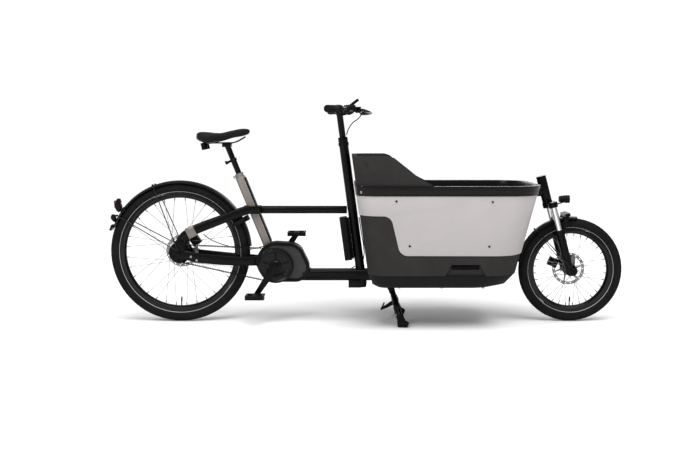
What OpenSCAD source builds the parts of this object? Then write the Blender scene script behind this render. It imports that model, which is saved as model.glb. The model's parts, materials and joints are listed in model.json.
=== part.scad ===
// Front-loading electric cargo bicycle with a mid-drive motor, a toothed belt
// and steering through a separate column behind the box.
// X points forward, Y to the rider's left, Z up. The ground is at Z 0.

/* [Wheels] */
// Rear axle to front axle
wheelbase = 1942; // [1900:1:2100]
// Outer radius of the rear tyre
rear_r = 347; // [320:1:370]
// Outer radius of the front tyre
front_r = 258; // [240:1:275]
// Width of both tyres' round section
tyre_w = 55; // [40:1:58]
// Tyre casing thickness
tyre_t = 4; // [2:0.5:6]
// Radial depth of the rims
rim_depth = 27; // [18:1:34]
// Outer width of the rims
rim_w = 34; // [26:1:40]
// Spokes in each wheel, a multiple of 4
spoke_count = 32; // [24:4:36]
// Spoke diameter
spoke_d = 2; // [1.8:0.1:3]
// Brake disc radius
disc_r = 81; // [70:1:90]
// Brake disc thickness
disc_t = 1.8; // [1.6:0.1:2.4]

/* [Frame] */
// Height of the crank axle
crank_z = 284; // [270:1:310]
// Crank axle ahead of the rear axle
crank_x = 477; // [465:1:495]
// Seat tube angle above the horizontal
seat_angle = 68; // [64:0.5:72]
// Seat tube length above the crank axle
seat_tube_top = 470; // [440:1:520]
// Seat tube size along the frame
seat_tube_l = 48; // [42:1:56]
// Seat tube size across the frame
seat_tube_w = 44; // [40:1:50]
// Seatpost diameter
post_d = 28.6; // [25:0.1:32]
// Height of the top tube's centre
top_tube_z = 558; // [540:1:580]
// Top tube height
top_tube_h = 38; // [30:1:46]
// Rear dropout spacing, inside to inside
rear_gap = 140; // [135:1:150]
// Main beam height
beam_h = 56; // [44:1:60]
// Main beam width
beam_w = 70; // [56:1:90]
// Height of the main beam's underside
beam_z = 206; // [200:1:212]

/* [Steering] */
// Steering column lean from the vertical
column_tilt = 7.6; // [5:0.1:9]
// Steering column outer diameter
column_d = 46; // [42:0.5:50]
// Steering column wall
column_t = 3; // [2:0.5:4]
// Top of the steering column
column_top = 890; // [870:1:920]
// Diameter of the height-adjustable stem tube
quill_d = 32; // [28:0.1:34]
// Handlebar tube diameter
bar_d = 22.2; // [20:0.1:25.4]
// Half width of the handlebar over the grips
bar_half = 338; // [328:1:350]
// Head angle lean from the vertical
head_tilt = 15; // [12:0.5:18]
// Axle ahead of the steering axis
fork_rake = 27; // [20:1:40]
// Half spacing of the fork legs
leg_y = 64; // [60:0.5:70]
// Fork stanchion diameter
stanchion_d = 30; // [28:0.1:34]
// Suspension travel of the fork
fork_travel = 40; // [20:1:45]

/* [Cargo box] */
// Height of the box floor's underside
box_z = 265; // [262:1:275]
// Height of the rim's underside
rim_z = 645; // [610:1:665]
// Rim height
rim_h = 45; // [30:1:50]
// Half width of the box at the rim
box_top_y = 318; // [290:1:325]
// Half width of the box at the floor
box_base_y = 286; // [250:1:300]
// Wall thickness of the moulded shell
shell_t = 24; // [12:1:30]
// Thickness of the side panels
panel_t = 3; // [2:0.5:5]
// Height of the backrest above the rim
back_h = 140; // [80:1:160]
// Depth of the step recess
recess_d = 14; // [6:1:18]

/* [Drive] */
// Rear pulley teeth
rear_teeth = 24; // [20:2:28]
// Front pulley teeth
front_teeth = 48; // [40:4:50]
// Belt tooth pitch
pitch = 11; // [8:0.5:11]
// Belt width
belt_w = 12; // [8:0.5:13]
// Distance of the belt line from the middle
belt_y = 53; // [51:0.5:55]
// Crank arm length
crank_l = 170; // [150:1:175]
// Resting angle of the right crank
crank_angle = -124; // [-180:1:180]
// Radius of the motor's round end
motor_r = 84; // [78:1:88]
// Width of the motor
motor_w = 84; // [70:1:86]

/* [Hidden] */
$fn = 48;

// Clearance of pieces that move past each other, and radial play of a running fit
gap = 0.3;
fit = 0.05;

// Rear end
flap_r = 366;
flap_end = 17.5;
fender_in = rear_r + 6.5;
fender_t = 3;
fender_y = 33;
x_mid = (wheelbase + front_r - flap_r * cos(flap_end)) / 2;
rear_bead = rear_r - tyre_w;
front_bead = front_r - tyre_w;
hub_in = rear_gap / 2;
drop_t = 8;
axle_r = 5;

// Drive line
rear_pitch_r = rear_teeth * pitch / (2 * PI);
front_pitch_r = front_teeth * pitch / (2 * PI);
tooth_h = 3.4;
band_t = 2.2;
arm_y = 80;
arm_t = 13;
pedal_l = 96;
pedal_y = arm_y + arm_t;

// Steering column axis, through a point at ground level below it
column_x0 = 930;
column_foot = 253;
shaft_r = column_d / 2 - column_t - 1;
quill_low = column_top - 190;
stem_z = 1036;

// Fork, along its own axis from the axle's height
crown_z = 330;
crown_h = 26;
head_len = 120;
leg_x = fork_rake - 14;
leg_r = stanchion_d / 2 + 6;
leg_top = 214;

// Cargo box
rim_top = rim_z + rim_h;
back_lean = 0.141;
nose_lean = 0.247;
box_rear_z0 = 930;
box_nose_z0 = wheelbase - 298;
rear_corner = 90;
nose_corner = 150;
floor_t = 30;
bolt_r = 5;
nose_steps = 18;
rear_steps = 12;

// ---------- helpers ----------
module bike() {
  translate([-x_mid, 0, 0]) children();
}

function unit(v) = v / norm(v);

module rod(p, q, r) {
  v = q - p;
  translate(p) rotate([0, acos(v[2] / norm(v)), atan2(v[1], v[0])]) cylinder(h = norm(v), r = r);
}

module both() {
  children();
  mirror([0, 1, 0]) children();
}

// A flat outline in X and Z, given thickness from y0 to y1
module slab(y0, y1) {
  translate([0, y1, 0]) rotate([90, 0, 0]) linear_extrude(y1 - y0) children();
}

// A profile of radius and width, turned about an axle along Y
module turned() {
  rotate([90, 0, 0]) rotate_extrude($fn = 96) children();
}

module disc_y(r, y0, y1) {
  translate([0, y1, 0]) rotate([90, 0, 0]) cylinder(h = y1 - y0, r = r);
}

// Rectangle with round corners, exact
module rounded(l, w, r) {
  square([l - 2 * r, w], center = true);
  square([l, w - 2 * r], center = true);
  for (i = [-1, 1], j = [-1, 1]) translate([i * (l / 2 - r), j * (w / 2 - r)]) circle(r);
}

// Two circles joined by straight sides, which end just inside the circles
pod_ease = 0.05;
module pod(a, ra, b, rb) {
  d = norm(b - a);
  t = atan2(b[1] - a[1], b[0] - a[0]);
  k = acos((ra - rb) / d);
  qa = ra - pod_ease;
  qb = rb - pod_ease;
  translate(a) circle(ra);
  translate(b) circle(rb);
  polygon([
    a + qa * [cos(t + k), sin(t + k)], a + qa * [cos(t - k), sin(t - k)],
    b + qb * [cos(t - k), sin(t - k)], b + qb * [cos(t + k), sin(t + k)]
  ]);
}

// Catmull-Rom curve through points of any dimension, k steps a stretch
function curve_at(a, b, c, d, t) =
  0.5 * (2 * b + (c - a) * t + (2 * a - 5 * b + 4 * c - d) * t * t
    + (3 * b - a - 3 * c + d) * t * t * t);
function curve(p, k) = [
  for (i = [0 : len(p) - 2], j = [0 : k - 1])
    curve_at(p[max(i - 1, 0)], p[i], p[i + 1], p[min(i + 2, len(p) - 1)], j / k),
  p[len(p) - 1]
];

// A tube swept along points of [x, y, z, width, height]; round 1 is an ellipse, less is boxier
function spot(p) = [p[0], p[1], p[2]];
function power(c, e) = sign(c) * pow(abs(c), e);
function sweep_ring(p, dir, ref, n, e) =
  let (u = unit(ref - (ref * dir) * dir), v = cross(dir, u))
  [for (i = [0 : n - 1])
    spot(p) + u * p[3] / 2 * power(cos(360 * i / n), e) + v * p[4] / 2 * power(sin(360 * i / n), e)];
function sweep_dir(p, i) = unit(spot(p[min(i + 1, len(p) - 1)]) - spot(p[max(i - 1, 0)]));
module sweep(p, n = 12, e = 1, ref = [0, 1, 0]) {
  m = len(p);
  pts = [for (i = [0 : m - 1]) each sweep_ring(p[i], sweep_dir(p, i), ref, n, e)];
  faces = concat(
    [[for (i = [0 : n - 1]) i]],
    [[for (i = [n - 1 : -1 : 0]) (m - 1) * n + i]],
    [for (k = [0 : m - 2], i = [0 : n - 1]) [k * n + i, (k + 1) * n + i, k * n + (i + 1) % n]],
    [for (k = [0 : m - 2], i = [0 : n - 1])
      [k * n + (i + 1) % n, (k + 1) * n + i, (k + 1) * n + (i + 1) % n]]
  );
  polyhedron(points = pts, faces = faces);
}
function cord(p, d) = [for (q = p) [q[0], q[1], q[2], d, d]];

// A loft between closed rings of equal length, lowest ring first
module loft(rings) {
  n = len(rings[0]);
  m = len(rings);
  polyhedron(points = [for (r = rings) each r], faces = concat(
    [[for (i = [0 : n - 1]) i]],
    [[for (i = [n - 1 : -1 : 0]) (m - 1) * n + i]],
    [for (k = [0 : m - 2], i = [0 : n - 1]) [k * n + i, (k + 1) * n + i, k * n + (i + 1) % n]],
    [for (k = [0 : m - 2], i = [0 : n - 1])
      [k * n + (i + 1) % n, (k + 1) * n + i, (k + 1) * n + (i + 1) % n]]
  ));
}

// ---------- axes ----------
// Seat tube: local Z runs up the tube from the crank axle, local X forwards
module on_seat_tube() {
  translate([crank_x, 0, crank_z]) rotate([0, seat_angle - 90, 0]) children();
}
function seat_line(l) = [crank_x - l * cos(seat_angle), 0, crank_z + l * sin(seat_angle)];

// Steering column: local Z runs up the column, its zero at the ground
module on_column() {
  translate([column_x0, 0, 0]) rotate([0, -column_tilt, 0]) children();
}
function column_line(z) = [column_x0 - z * tan(column_tilt), 0, z];
function up_column(z) = z / cos(column_tilt);

// Fork: local Z runs up the steering axis, local X forwards, the axle at X fork_rake
module on_fork() {
  translate([wheelbase, 0, front_r]) rotate([0, -head_tilt, 0]) translate([-fork_rake, 0, 0])
    children();
}

module at_front() {
  translate([wheelbase, 0, front_r]) children();
}

module at_rear() {
  translate([0, 0, rear_r]) children();
}

module at_crank() {
  translate([crank_x, 0, crank_z]) children();
}

// ---------- frame ----------
module seat_tube() {
  foot = motor_r + 8;
  bike() color([0.47, 0.44, 0.42]) difference() {
    on_seat_tube() difference() {
      union() {
        translate([0, 0, foot]) linear_extrude(seat_tube_top - foot)
          rounded(seat_tube_l, seat_tube_w, 12);
        translate([0, 0, seat_tube_top - 2]) cylinder(h = 22, r = post_d / 2 + 7);
        translate([-post_d / 2 - 18, -9, seat_tube_top + 2]) cube([16, 18, 14]);
      }
      translate([0, 0, 150]) cylinder(h = seat_tube_top, r = post_d / 2 + fit);
      translate([-post_d / 2 - 20, -1.5, seat_tube_top + gap]) cube([20, 3, 30]);
    }
    slab(-60, 60) cradle_outline(gap / 6);
  }
}

function seat_face(z, side) =
  crank_x - (z - crank_z) / tan(seat_angle) + side * seat_tube_l / 2 / sin(seat_angle);

lug_x0 = seat_face(top_tube_z, -1) - 22;
lug_x1 = seat_face(top_tube_z, 1) + 10;

module top_tube() {
  front = column_line(top_tube_z)[0] - column_d / 2 - 3.4;
  bike() color([0.06, 0.06, 0.06]) sweep([
    [lug_x1, 0, top_tube_z, 40, top_tube_h], [front, 0, top_tube_z, 40, top_tube_h]
  ], 16, 0.55);
}

// Right-hand upper stay, from beside the seat tube round to the dropout
stay_out = hub_in + drop_t / 2;
function stay_path() = curve([
  [350, -34, top_tube_z + 3, 18, 40],
  [290, -42, 542, 18, 42],
  [190, -58, 503, 16, 42],
  [95, -stay_out, rear_r + 120, 14, 44],
  [35, -stay_out, rear_r + 90, 14, 46],
  [8, -stay_out, rear_r + 51, 14, 46]
], 3);

// Dropout plate of a stay, grown by e
module dropout(e) {
  pod([2, rear_r + 2], 27 + e, [8, rear_r + 49], 23 + e);
  pod([2, rear_r + 2], 27 + e, [45, rear_r - 11], 22 + e);
}

module upper_stays() {
  bike() color([0.06, 0.06, 0.06]) {
    both() difference() {
      sweep(stay_path(), 12, 0.6);
      slab(-hub_in - 20, -hub_in + 20) dropout(gap / 6);
      on_seat_tube() translate([0, 0, 200]) linear_extrude(200)
        rounded(seat_tube_l + 0.2, seat_tube_w + 0.2, 12);
    }
    difference() {
      translate([lug_x0, -42, top_tube_z - top_tube_h / 2])
        cube([lug_x1 - lug_x0, 84, top_tube_h]);
      on_seat_tube() translate([0, 0, 200]) linear_extrude(200)
        rounded(seat_tube_l + 0.2, seat_tube_w + 0.2, 12);
    }
  }
}

// Clamped sleeve over the joint that lets the belt through the right stay
module belt_sleeve() {
  bike() color([0.5, 0.47, 0.45]) difference() {
    sweep([
      [45, -stay_out, rear_r + 97, 21, 56], [84, -stay_out, rear_r + 115.5, 21, 54]
    ], 12, 0.6);
    sweep(stay_path(), 12, 0.6);
  }
}

module lower_stays() {
  bike() color([0.06, 0.06, 0.06]) both() difference() {
    union() {
      sweep([
        [28, -stay_out, rear_r - 5, 13, 44],
        [85, -stay_out, rear_r - 21, 14, 50],
        [215, -stay_out, (rear_r + crank_z - 5) / 2, 16, 48],
        [296, -66, crank_z + 24, 18, 46],
        [345, -52, crank_z + 22, 18, 46],
        [392, -33, crank_z + 21, 18, 46]
      ], 12, 0.6);
      slab(-stay_out - drop_t / 2, -stay_out + drop_t / 2) dropout(0);
    }
    at_rear() disc_y(axle_r + fit, -hub_in - 20, -hub_in + 20);
    slab(-60, 60) cradle_outline(gap / 6);
  }
}

// Motor, and the cradle that runs round it
crank_c = [crank_x, crank_z];
motor_c = [crank_x + 3, crank_z + 16];
motor_f = [crank_x + 95, crank_z - 12];
motor_fr = 56;
motor_top = [crank_x + 66, crank_z + 34];
motor_tr = 62;
cradle_t = 15;
cover_r = 62;
motor_play = 0.4;

module motor_outline(e) {
  pod(motor_c, motor_r + e, motor_f, motor_fr + e);
  pod(motor_c, motor_r + e, motor_top, motor_tr + e);
  pod(motor_top, motor_tr + e, motor_f, motor_fr + e);
}

module cradle_outline(e) {
  motor_outline(cradle_t + e);
  pod([crank_x - 64, crank_z + 20], 40 + e, motor_c, motor_r + e);
}

module motor_cradle() {
  bike() color([0.07, 0.07, 0.07]) slab(-motor_w / 2, motor_w / 2) difference() {
    cradle_outline(0);
    motor_outline(motor_play);
  }
}

module motor_housing() {
  bike() color([0.16, 0.16, 0.17]) difference() {
    slab(-motor_w / 2 + 3, motor_w / 2 - 3) motor_outline(0);
    at_crank() disc_y(11 + fit, -60, 60);
    at_crank() disc_y(cover_r + gap, -motor_w / 2 - 1, -motor_w / 2 + 9);
  }
}

module motor_cover() {
  bike() color([0.1, 0.1, 0.11]) at_crank() difference() {
    disc_y(cover_r, -motor_w / 2 + 0.5, -motor_w / 2 + 8.7);
    disc_y(11 + fit, -60, 60);
  }
}

beam_back = motor_f[0];
nose_x = box_nose_z0 - 70;
beam_front = nose_x - 42;
stand_x = 1049;
stand_z = 168;
pin_r = 6;
ear_y = 48;
ear_t = 8;
cross_first = box_rear_z0 + 220;
cross_step = (box_nose_z0 - 154 - cross_first) / 2;
cross_x = [for (k = [0 : 2]) cross_first + cross_step * k];

module main_beam() {
  mid = beam_z + beam_h / 2;
  foot = column_line(column_foot)[0];
  bike() color([0.07, 0.07, 0.07]) {
    difference() {
      union() {
        translate([beam_back, 0, mid]) rotate([0, 90, 0]) linear_extrude(beam_front - beam_back)
          rounded(beam_h, beam_w, 12);
        translate([foot, 0, beam_z - 34]) cylinder(h = 62, r = column_d / 2 + 9);
        translate([foot - 60, -40, beam_z - 34]) cube([60, 80, 40]);
        for (x = cross_x) translate([x, 185, mid]) rotate([90, 0, 0]) linear_extrude(370)
          rounded(40, 34, 8);
        // Ears that carry the centre stand
        translate([stand_x - 50, -ear_y - ear_t, beam_z - 8])
          cube([64, 2 * (ear_y + ear_t), 10]);
        both() slab(ear_y, ear_y + ear_t) {
          pod([stand_x, stand_z], 16, [stand_x - 24, beam_z - 8], 12);
          polygon([[stand_x - 50, beam_z - 8], [stand_x - 36, beam_z - 14],
            [stand_x + 14, beam_z - 14], [stand_x + 14, beam_z - 8]]);
        }
      }
      on_column() cylinder(h = 400, r = column_d / 2 + 0.2);
      slab(-60, 60) cradle_outline(gap / 6);
      translate([stand_x, 0, stand_z]) disc_y(pin_r + fit, -90, 90);
    }
  }
}

module steering_column() {
  low = up_column(column_foot - 60);
  high = up_column(column_top);
  bike() color([0.06, 0.06, 0.06]) on_column() difference() {
    union() {
      translate([0, 0, low]) cylinder(h = high - low, r = column_d / 2);
      translate([0, 0, high - 16]) cylinder(h = 16, r = column_d / 2 + 3);
    }
    translate([0, 0, low + 8]) cylinder(h = high, r = shaft_r + fit);
  }
}

// Tube inside the box's nose that carries the fork, grown by e all round
module nose_tube(e) {
  sweep(concat([[beam_front + 0.5, 0, beam_z + 28, 60 + e, 50 + e]], curve([
    [beam_front + 8, 0, beam_z + 28, 60 + e, 50 + e],
    [nose_x - 16, 0, beam_z + 40, 60 + e, 48 + e],
    [nose_x + 26, 0, beam_z + 94, 58 + e, 44 + e],
    [nose_x + 96, 0, 575, 52 + e, 42 + e],
    [nose_x + 144, 0, 638, 50 + e, 44 + e],
    [wheelbase - 148, 0, 650, 48 + e, 52 + e]
  ], 3)), 12, 0.6);
}

module nose_frame() {
  bike() color([0.06, 0.06, 0.06]) difference() {
    union() {
      nose_tube(0);
      on_fork() translate([0, 0, crown_z + crown_h + gap]) cylinder(h = head_len, r = 24);
    }
    on_fork() translate([0, 0, crown_z]) cylinder(h = head_len + 80, r = 15 + fit);
  }
}

module battery() {
  face = -column_d / 2 - 0.4;
  bike() color([0.08, 0.08, 0.08]) on_column() {
    difference() {
      translate([face - 27, 0, 318]) linear_extrude(214) rounded(38, 90, 12);
      translate([face - 47, -12, 490]) cube([6, 24, 22]);
    }
    // Dock on the column
    translate([face - 7.6, -30, 322]) cube([7.6, 60, 204]);
  }
}

// ---------- cargo box ----------
function arc(c, r, a, b, n) = [for (i = [0 : n]) c + r * [cos(a + (b - a) * i / n), sin(a + (b - a) * i / n)]];

// Plan of the box at height z, grown by e
function box_x0(z) = box_rear_z0 - (z - box_z) * back_lean;
function box_x1(z) = box_nose_z0 + (z - box_z) * nose_lean;
function box_y(z) = box_base_y + (box_top_y - box_base_y) * (z - box_z) / (rim_top - box_z);
function plan(z, e, cut = 0) =
  let (
    a = box_x0(z) - e,
    b = box_x1(z) + e - cut,
    y = box_y(z) + e,
    ra = max(rear_corner + e, 12),
    rb = max(nose_corner + e, 12)
  )
  [for (p = concat(
    arc([b - rb, y - rb], rb, 0, 90, nose_steps),
    arc([a + ra, y - ra], ra, 90, 180, rear_steps),
    arc([a + ra, ra - y], ra, 180, 270, rear_steps),
    arc([b - rb, rb - y], rb, 270, 360, nose_steps)
  )) [p[0], p[1], z]];

module tub(z0, z1, e) {
  loft([plan(z0, e), plan(z1, e)]);
}

// Trapezoid step recess in each side
step_x = box_nose_z0 - 255;
module step_recess() {
  slab(-400, -box_y(box_z + 30) + recess_d) polygon([
    [step_x - 96, box_z - 1], [step_x - 68, box_z + 54], [step_x + 68, box_z + 54],
    [step_x + 96, box_z - 1]
  ]);
}

module cargo_shell() {
  bike() color([0.17, 0.165, 0.16]) difference() {
    union() {
      difference() {
        tub(box_z, rim_z, 0);
        tub(box_z + floor_t, rim_z + 1, -shell_t);
      }
      // Cover over the frame tube in the nose
      intersection() {
        nose_tube(34);
        tub(box_z, rim_z, -1);
      }
    }
    both() step_recess();
    nose_tube(8);
  }
}

// Outline of a side panel in X and Z
function panel_outline() = concat(
  [[800, rim_z - 1], [800, 553], [980, 550]],
  arc([1000, 505], 45, 85, 20, 5),
  arc([1117, 408], 46, 196, 268, 6),
  [[wheelbase - 342, 361], [wheelbase - 42, 374], [wheelbase - 42, rim_z - 1]]
);

panel_bolts = [
  [1060, 621], [box_nose_z0 - 136, 618], [1124, 409], [box_nose_z0 - 147, 407]
];

module side_panels() {
  bike() color([0.79, 0.77, 0.755]) both() difference() {
    intersection() {
      slab(-400, -0.5) polygon(panel_outline());
      tub(box_z, rim_z, panel_t + gap);
    }
    tub(box_z - 1, rim_z + 1, gap);
    nose_tube(12);
  }
}

module panel_screws() {
  bike() color([0.1, 0.1, 0.1]) both() for (p = panel_bolts) {
    y = box_y(p[1]) + panel_t + gap + 0.9;
    translate([p[0], -y, p[1]]) rotate([90 + 4.3, 0, 0]) cylinder(h = 3, r = bolt_r);
  }
}

module box_rim() {
  bike() color([0.05, 0.05, 0.05]) difference() {
    tub(rim_z, rim_top, 6);
    tub(rim_z - 1, rim_top + 1, -shell_t - 2);
    nose_tube(12);
  }
}

module backrest_shell() {
  top = rim_top + back_h;
  bike() color([0.17, 0.165, 0.16]) difference() {
    tub(rim_top, top, -2);
    tub(rim_top - 1, top + 1, -shell_t - 2);
    slab(-400, 400) polygon([
      [1020, top + 1], [1050, top - 8], [1176, rim_top + 32], [1240, rim_top - 1],
      [wheelbase, rim_top - 1], [wheelbase, top + 1]
    ]);
    // Grip recess in each wing
    both() slab(-400, -box_y(rim_top + 90) + 10) pod([888, rim_top + 66], 15, [908, rim_top + 90], 20);
  }
}

module base_tray() {
  low = beam_z - 3;
  wall = 3;
  bike() color([0.1, 0.1, 0.1]) difference() {
    loft([plan(low, -34, 60), plan(low + 14, -12, 22), plan(box_z, -1)]);
    loft([plan(low + wall, -36, 60), plan(low + 14, -12 - wall, 22), plan(box_z + 1, -1 - wall)]);
    translate([800, -beam_w / 2 - 2, beam_z - 5]) cube([200, beam_w + 4, 90]);
    // Room for the centre stand to fold up into
    translate([900, -218, low - 2]) cube([stand_x + 40 - 900, 436, wall + 8]);
    translate([900, -218, low - 2]) cube([50, 436, 40]);
  }
}

// ---------- rear end ----------
module wheel_fender(r, t, half, a0, a1) {
  rotate([90, 0, 0]) rotate([0, 0, a0]) rotate_extrude(angle = a1 - a0, $fn = 96) difference() {
    translate([r + t - 60, 0]) intersection() {
      circle(60);
      translate([0, -half]) square([80, 2 * half]);
    }
    translate([r - 60, 0]) circle(60);
  }
}

module rear_fender() {
  bike() color([0.06, 0.06, 0.06]) at_rear() {
    wheel_fender(fender_in, fender_t, fender_y, 5, 160);
    // Mudflap
    rotate([90, 0, 0]) rotate([0, 0, 158]) rotate_extrude(angle = 22 - flap_end, $fn = 96)
      translate([flap_r - 9, -26]) square([9, 52]);
    // Wire stays from the dropouts to the fender
    both() {
      rod([-4, -stay_out - 11, 24], [-128, -38, 334], 2.5);
      rod([-8, -stay_out - 11, 16], [-306, -38, 184], 2.5);
      translate([-4, -stay_out - 4.3, 22]) rotate([90, 0, 0]) cylinder(h = 10, r = 9);
      rod([-128, -30, 334], [-128, -40, 334], 5);
      rod([-306, -30, 184], [-306, -40, 184], 5);
    }
  }
}

module tail_light() {
  bike() color([0.55, 0.05, 0.05]) at_rear() {
    rotate([0, -142, 0]) translate([fender_in + fender_t + gap, -24, -30]) cube([26, 48, 60]);
    rotate([0, -153, 0]) translate([fender_in + fender_t + gap, -20, -15]) cube([12, 40, 30]);
  }
}

// Caliper body over the disc; local Z points away from the axle
caliper_in = 11;
caliper_out = 19;
module caliper(y) {
  difference() {
    translate([-24, y - caliper_in, -24]) cube([44, caliper_in + caliper_out, 48]);
    translate([-40, y - disc_t / 2 - 1.2, -40]) cube([80, disc_t + 2.4, 44]);
  }
}

rear_disc_y = 51;
front_disc_y = 37;

module rear_caliper() {
  bike() color([0.09, 0.09, 0.09]) at_rear() rotate([0, -35, 0]) translate([disc_r + 3, 0, 0])
    rotate([0, 90, 0]) caliper(rear_disc_y);
}

// Frame lock round the tyre, below the upper stays
lock_angle = 27;
lock_r = rear_r - 22;
lock_in = 41;
module ring_lock() {
  bike() color([0.07, 0.07, 0.07]) at_rear() rotate([0, -lock_angle, 0])
    translate([lock_r, 0, 0]) difference() {
      union() {
        translate([0, 0, -9]) cylinder(h = 18, r = lock_in + 15);
        translate([lock_in - 6, -28, -13]) cube([22, 56, 26]);
      }
      translate([0, 0, -30]) cylinder(h = 60, r = lock_in);
      translate([-100, -100, -20]) cube([72, 200, 40]);
    }
}

module rear_axle() {
  bike() color([0.6, 0.6, 0.6]) at_rear() {
    disc_y(axle_r, -hub_in - drop_t - 10, hub_in + drop_t + 10);
    both() translate([0, -hub_in - drop_t - gap, 0]) rotate([90, 0, 0]) cylinder(h = 8, r = 10, $fn = 6);
  }
}

// ---------- drive ----------
module belt_loop(grow) {
  pod([0, rear_r], rear_pitch_r + grow, crank_c, front_pitch_r + grow);
}

module drive_belt() {
  bike() color([0.05, 0.05, 0.05]) slab(-belt_y - belt_w / 2, -belt_y + belt_w / 2) difference() {
    belt_loop(gap + band_t);
    belt_loop(gap);
  }
}

module teeth_ring(teeth, pr) {
  for (i = [0 : teeth - 1]) rotate([0, 0, (i + 0.5) * 360 / teeth])
    translate([pr - tooth_h - 1.5, -pitch * 0.27]) square([tooth_h + 1.5, pitch * 0.54]);
}

module rear_pulley() {
  bike() color([0.3, 0.3, 0.31]) at_rear() difference() {
    union() {
      slab(-belt_y - belt_w / 2 - 0.5, -belt_y + belt_w / 2 + 0.5) {
        circle(rear_pitch_r - tooth_h);
        teeth_ring(rear_teeth, rear_pitch_r);
      }
      disc_y(24, -belt_y - belt_w / 2 - 3, -belt_y + belt_w / 2 + 2);
    }
    disc_y(axle_r + fit, -90, 0);
    for (i = [0 : 5]) rotate([0, 60 * i + 30, 0]) translate([31, 0, 0]) disc_y(3.2, -90, 0);
  }
}

module front_pulley() {
  bike() color([0.08, 0.08, 0.08]) at_crank() difference() {
    slab(-belt_y - belt_w / 2 - 0.5, -belt_y + belt_w / 2 + 0.5) {
      difference() {
        circle(front_pitch_r - tooth_h);
        circle(front_pitch_r - tooth_h - 9);
      }
      teeth_ring(front_teeth, front_pitch_r);
      for (i = [0 : 4]) rotate([0, 0, 72 * i]) translate([16, -8])
        square([front_pitch_r - tooth_h - 21, 16]);
      difference() {
        circle(26);
        circle(11.3);
      }
    }
  }
}

function crank_tip(a) = [crank_l * cos(a), crank_l * sin(a)];

module cranks() {
  bike() color([0.07, 0.07, 0.07]) at_crank() {
    disc_y(11, -arm_y - 2, arm_y + 2);
    for (s = [0, 1]) mirror([0, s, 0]) difference() {
      slab(-arm_y - arm_t, -arm_y) pod([0, 0], 19, crank_tip(crank_angle + 180 * s), 13);
      translate([crank_tip(crank_angle + 180 * s)[0], 0, crank_tip(crank_angle + 180 * s)[1]])
        disc_y(6 + fit, -200, 0);
    }
  }
}

// Platform pedal on its spindle, hanging level
module pedal() {
  disc_y(6, -pedal_l - 1, arm_t + 0.5);
  translate([0, -4 - (pedal_l - 4) / 2, 0]) difference() {
    cube([92, pedal_l - 4, 20], center = true);
    for (i = [-1, 1]) translate([i * 26, 0, 0]) cube([26, pedal_l - 30, 30], center = true);
  }
}

module pedal_right() {
  t = crank_tip(crank_angle);
  bike() color([0.08, 0.08, 0.08]) at_crank() translate([t[0], -pedal_y, t[1]]) pedal();
}

module pedal_left() {
  t = crank_tip(crank_angle + 180);
  bike() color([0.08, 0.08, 0.08]) at_crank() translate([t[0], pedal_y, t[1]])
    mirror([0, 1, 0]) pedal();
}

// ---------- wheels ----------
module tyre(bead) {
  mid = bead + tyre_w / 2;
  turned() difference() {
    translate([mid, 0]) circle(tyre_w / 2);
    translate([mid, 0]) circle(tyre_w / 2 - tyre_t);
    translate([bead - 10, -rim_w / 2 - gap]) square([16, rim_w + 2 * gap]);
  }
}

module rim(bead) {
  w = rim_w / 2;
  low = bead + 5 - rim_depth;
  turned() difference() {
    polygon([[low, -6], [low, 6], [low + 8, w], [bead + 5, w], [bead + 5, w - 2.4], [bead - 6, w - 2.4],
      [bead - 6, 2.4 - w], [bead + 5, 2.4 - w], [bead + 5, -w], [low + 8, -w]]);
    polygon([[low + 2, -4], [low + 2, 4], [low + 9, w - 3], [bead - 8, w - 3], [bead - 8, 3 - w],
      [low + 9, 3 - w]]);
  }
}

// Tangent spokes: hub flanges at y_a and y_b, each spoke straight from flange to rim
function polar(r, a, y) = [r * cos(a), y, r * sin(a)];
module spokes(bead, flange_r, y_a, y_b, lace) {
  low = bead + 5 - rim_depth;
  step = 360 / spoke_count;
  for (i = [0 : spoke_count - 1]) {
    lead = floor(i / 2) % 2 == 0 ? 1 : -1;
    y = (i % 2 == 0 ? y_a : y_b) + lead * (2.6 + spoke_d / 2);
    top = polar(low - 0.6, (i + 0.5) * step, 0);
    foot = polar(flange_r, (i + 0.5) * step + lead * lace, y);
    rod(foot, top, spoke_d / 2);
    rod(top + 13 * unit(foot - top), top, spoke_d / 2 + 0.9);
  }
}

module hub_shell(r, flange_r, y_a, y_b, y_end) {
  turned() difference() {
    union() {
      translate([0, -y_b]) square([r, y_b - y_a]);
      translate([0, -y_a - 1.5]) square([flange_r + 2, 3]);
      translate([0, -y_b - 1.5]) square([flange_r + 2, 3]);
      translate([0, -y_end]) square([22, y_end]);
    }
    translate([-1, -100]) square([1 + axle_r + fit, 200]);
  }
}

rear_flange = [-34, 36];
front_flange = [-30, 24];

module disc(y, hub_r) {
  turned() translate([hub_r, -y - disc_t / 2]) square([10, disc_t]);
  difference() {
    turned() translate([disc_r - 15, -y - disc_t / 2]) square([15, disc_t]);
    for (i = [0 : 17]) rotate([0, 20 * i, 0]) translate([disc_r - 7.5, 0, 0])
      disc_y(3.2, y - 4, y + 4);
  }
  for (i = [0 : 5]) rotate([0, 60 * i, 0]) slab(y - disc_t / 2, y + disc_t / 2)
    polygon([[hub_r + 5, -6], [disc_r - 12, 12], [disc_r - 12, 20], [hub_r + 5, 5]]);
}

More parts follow.
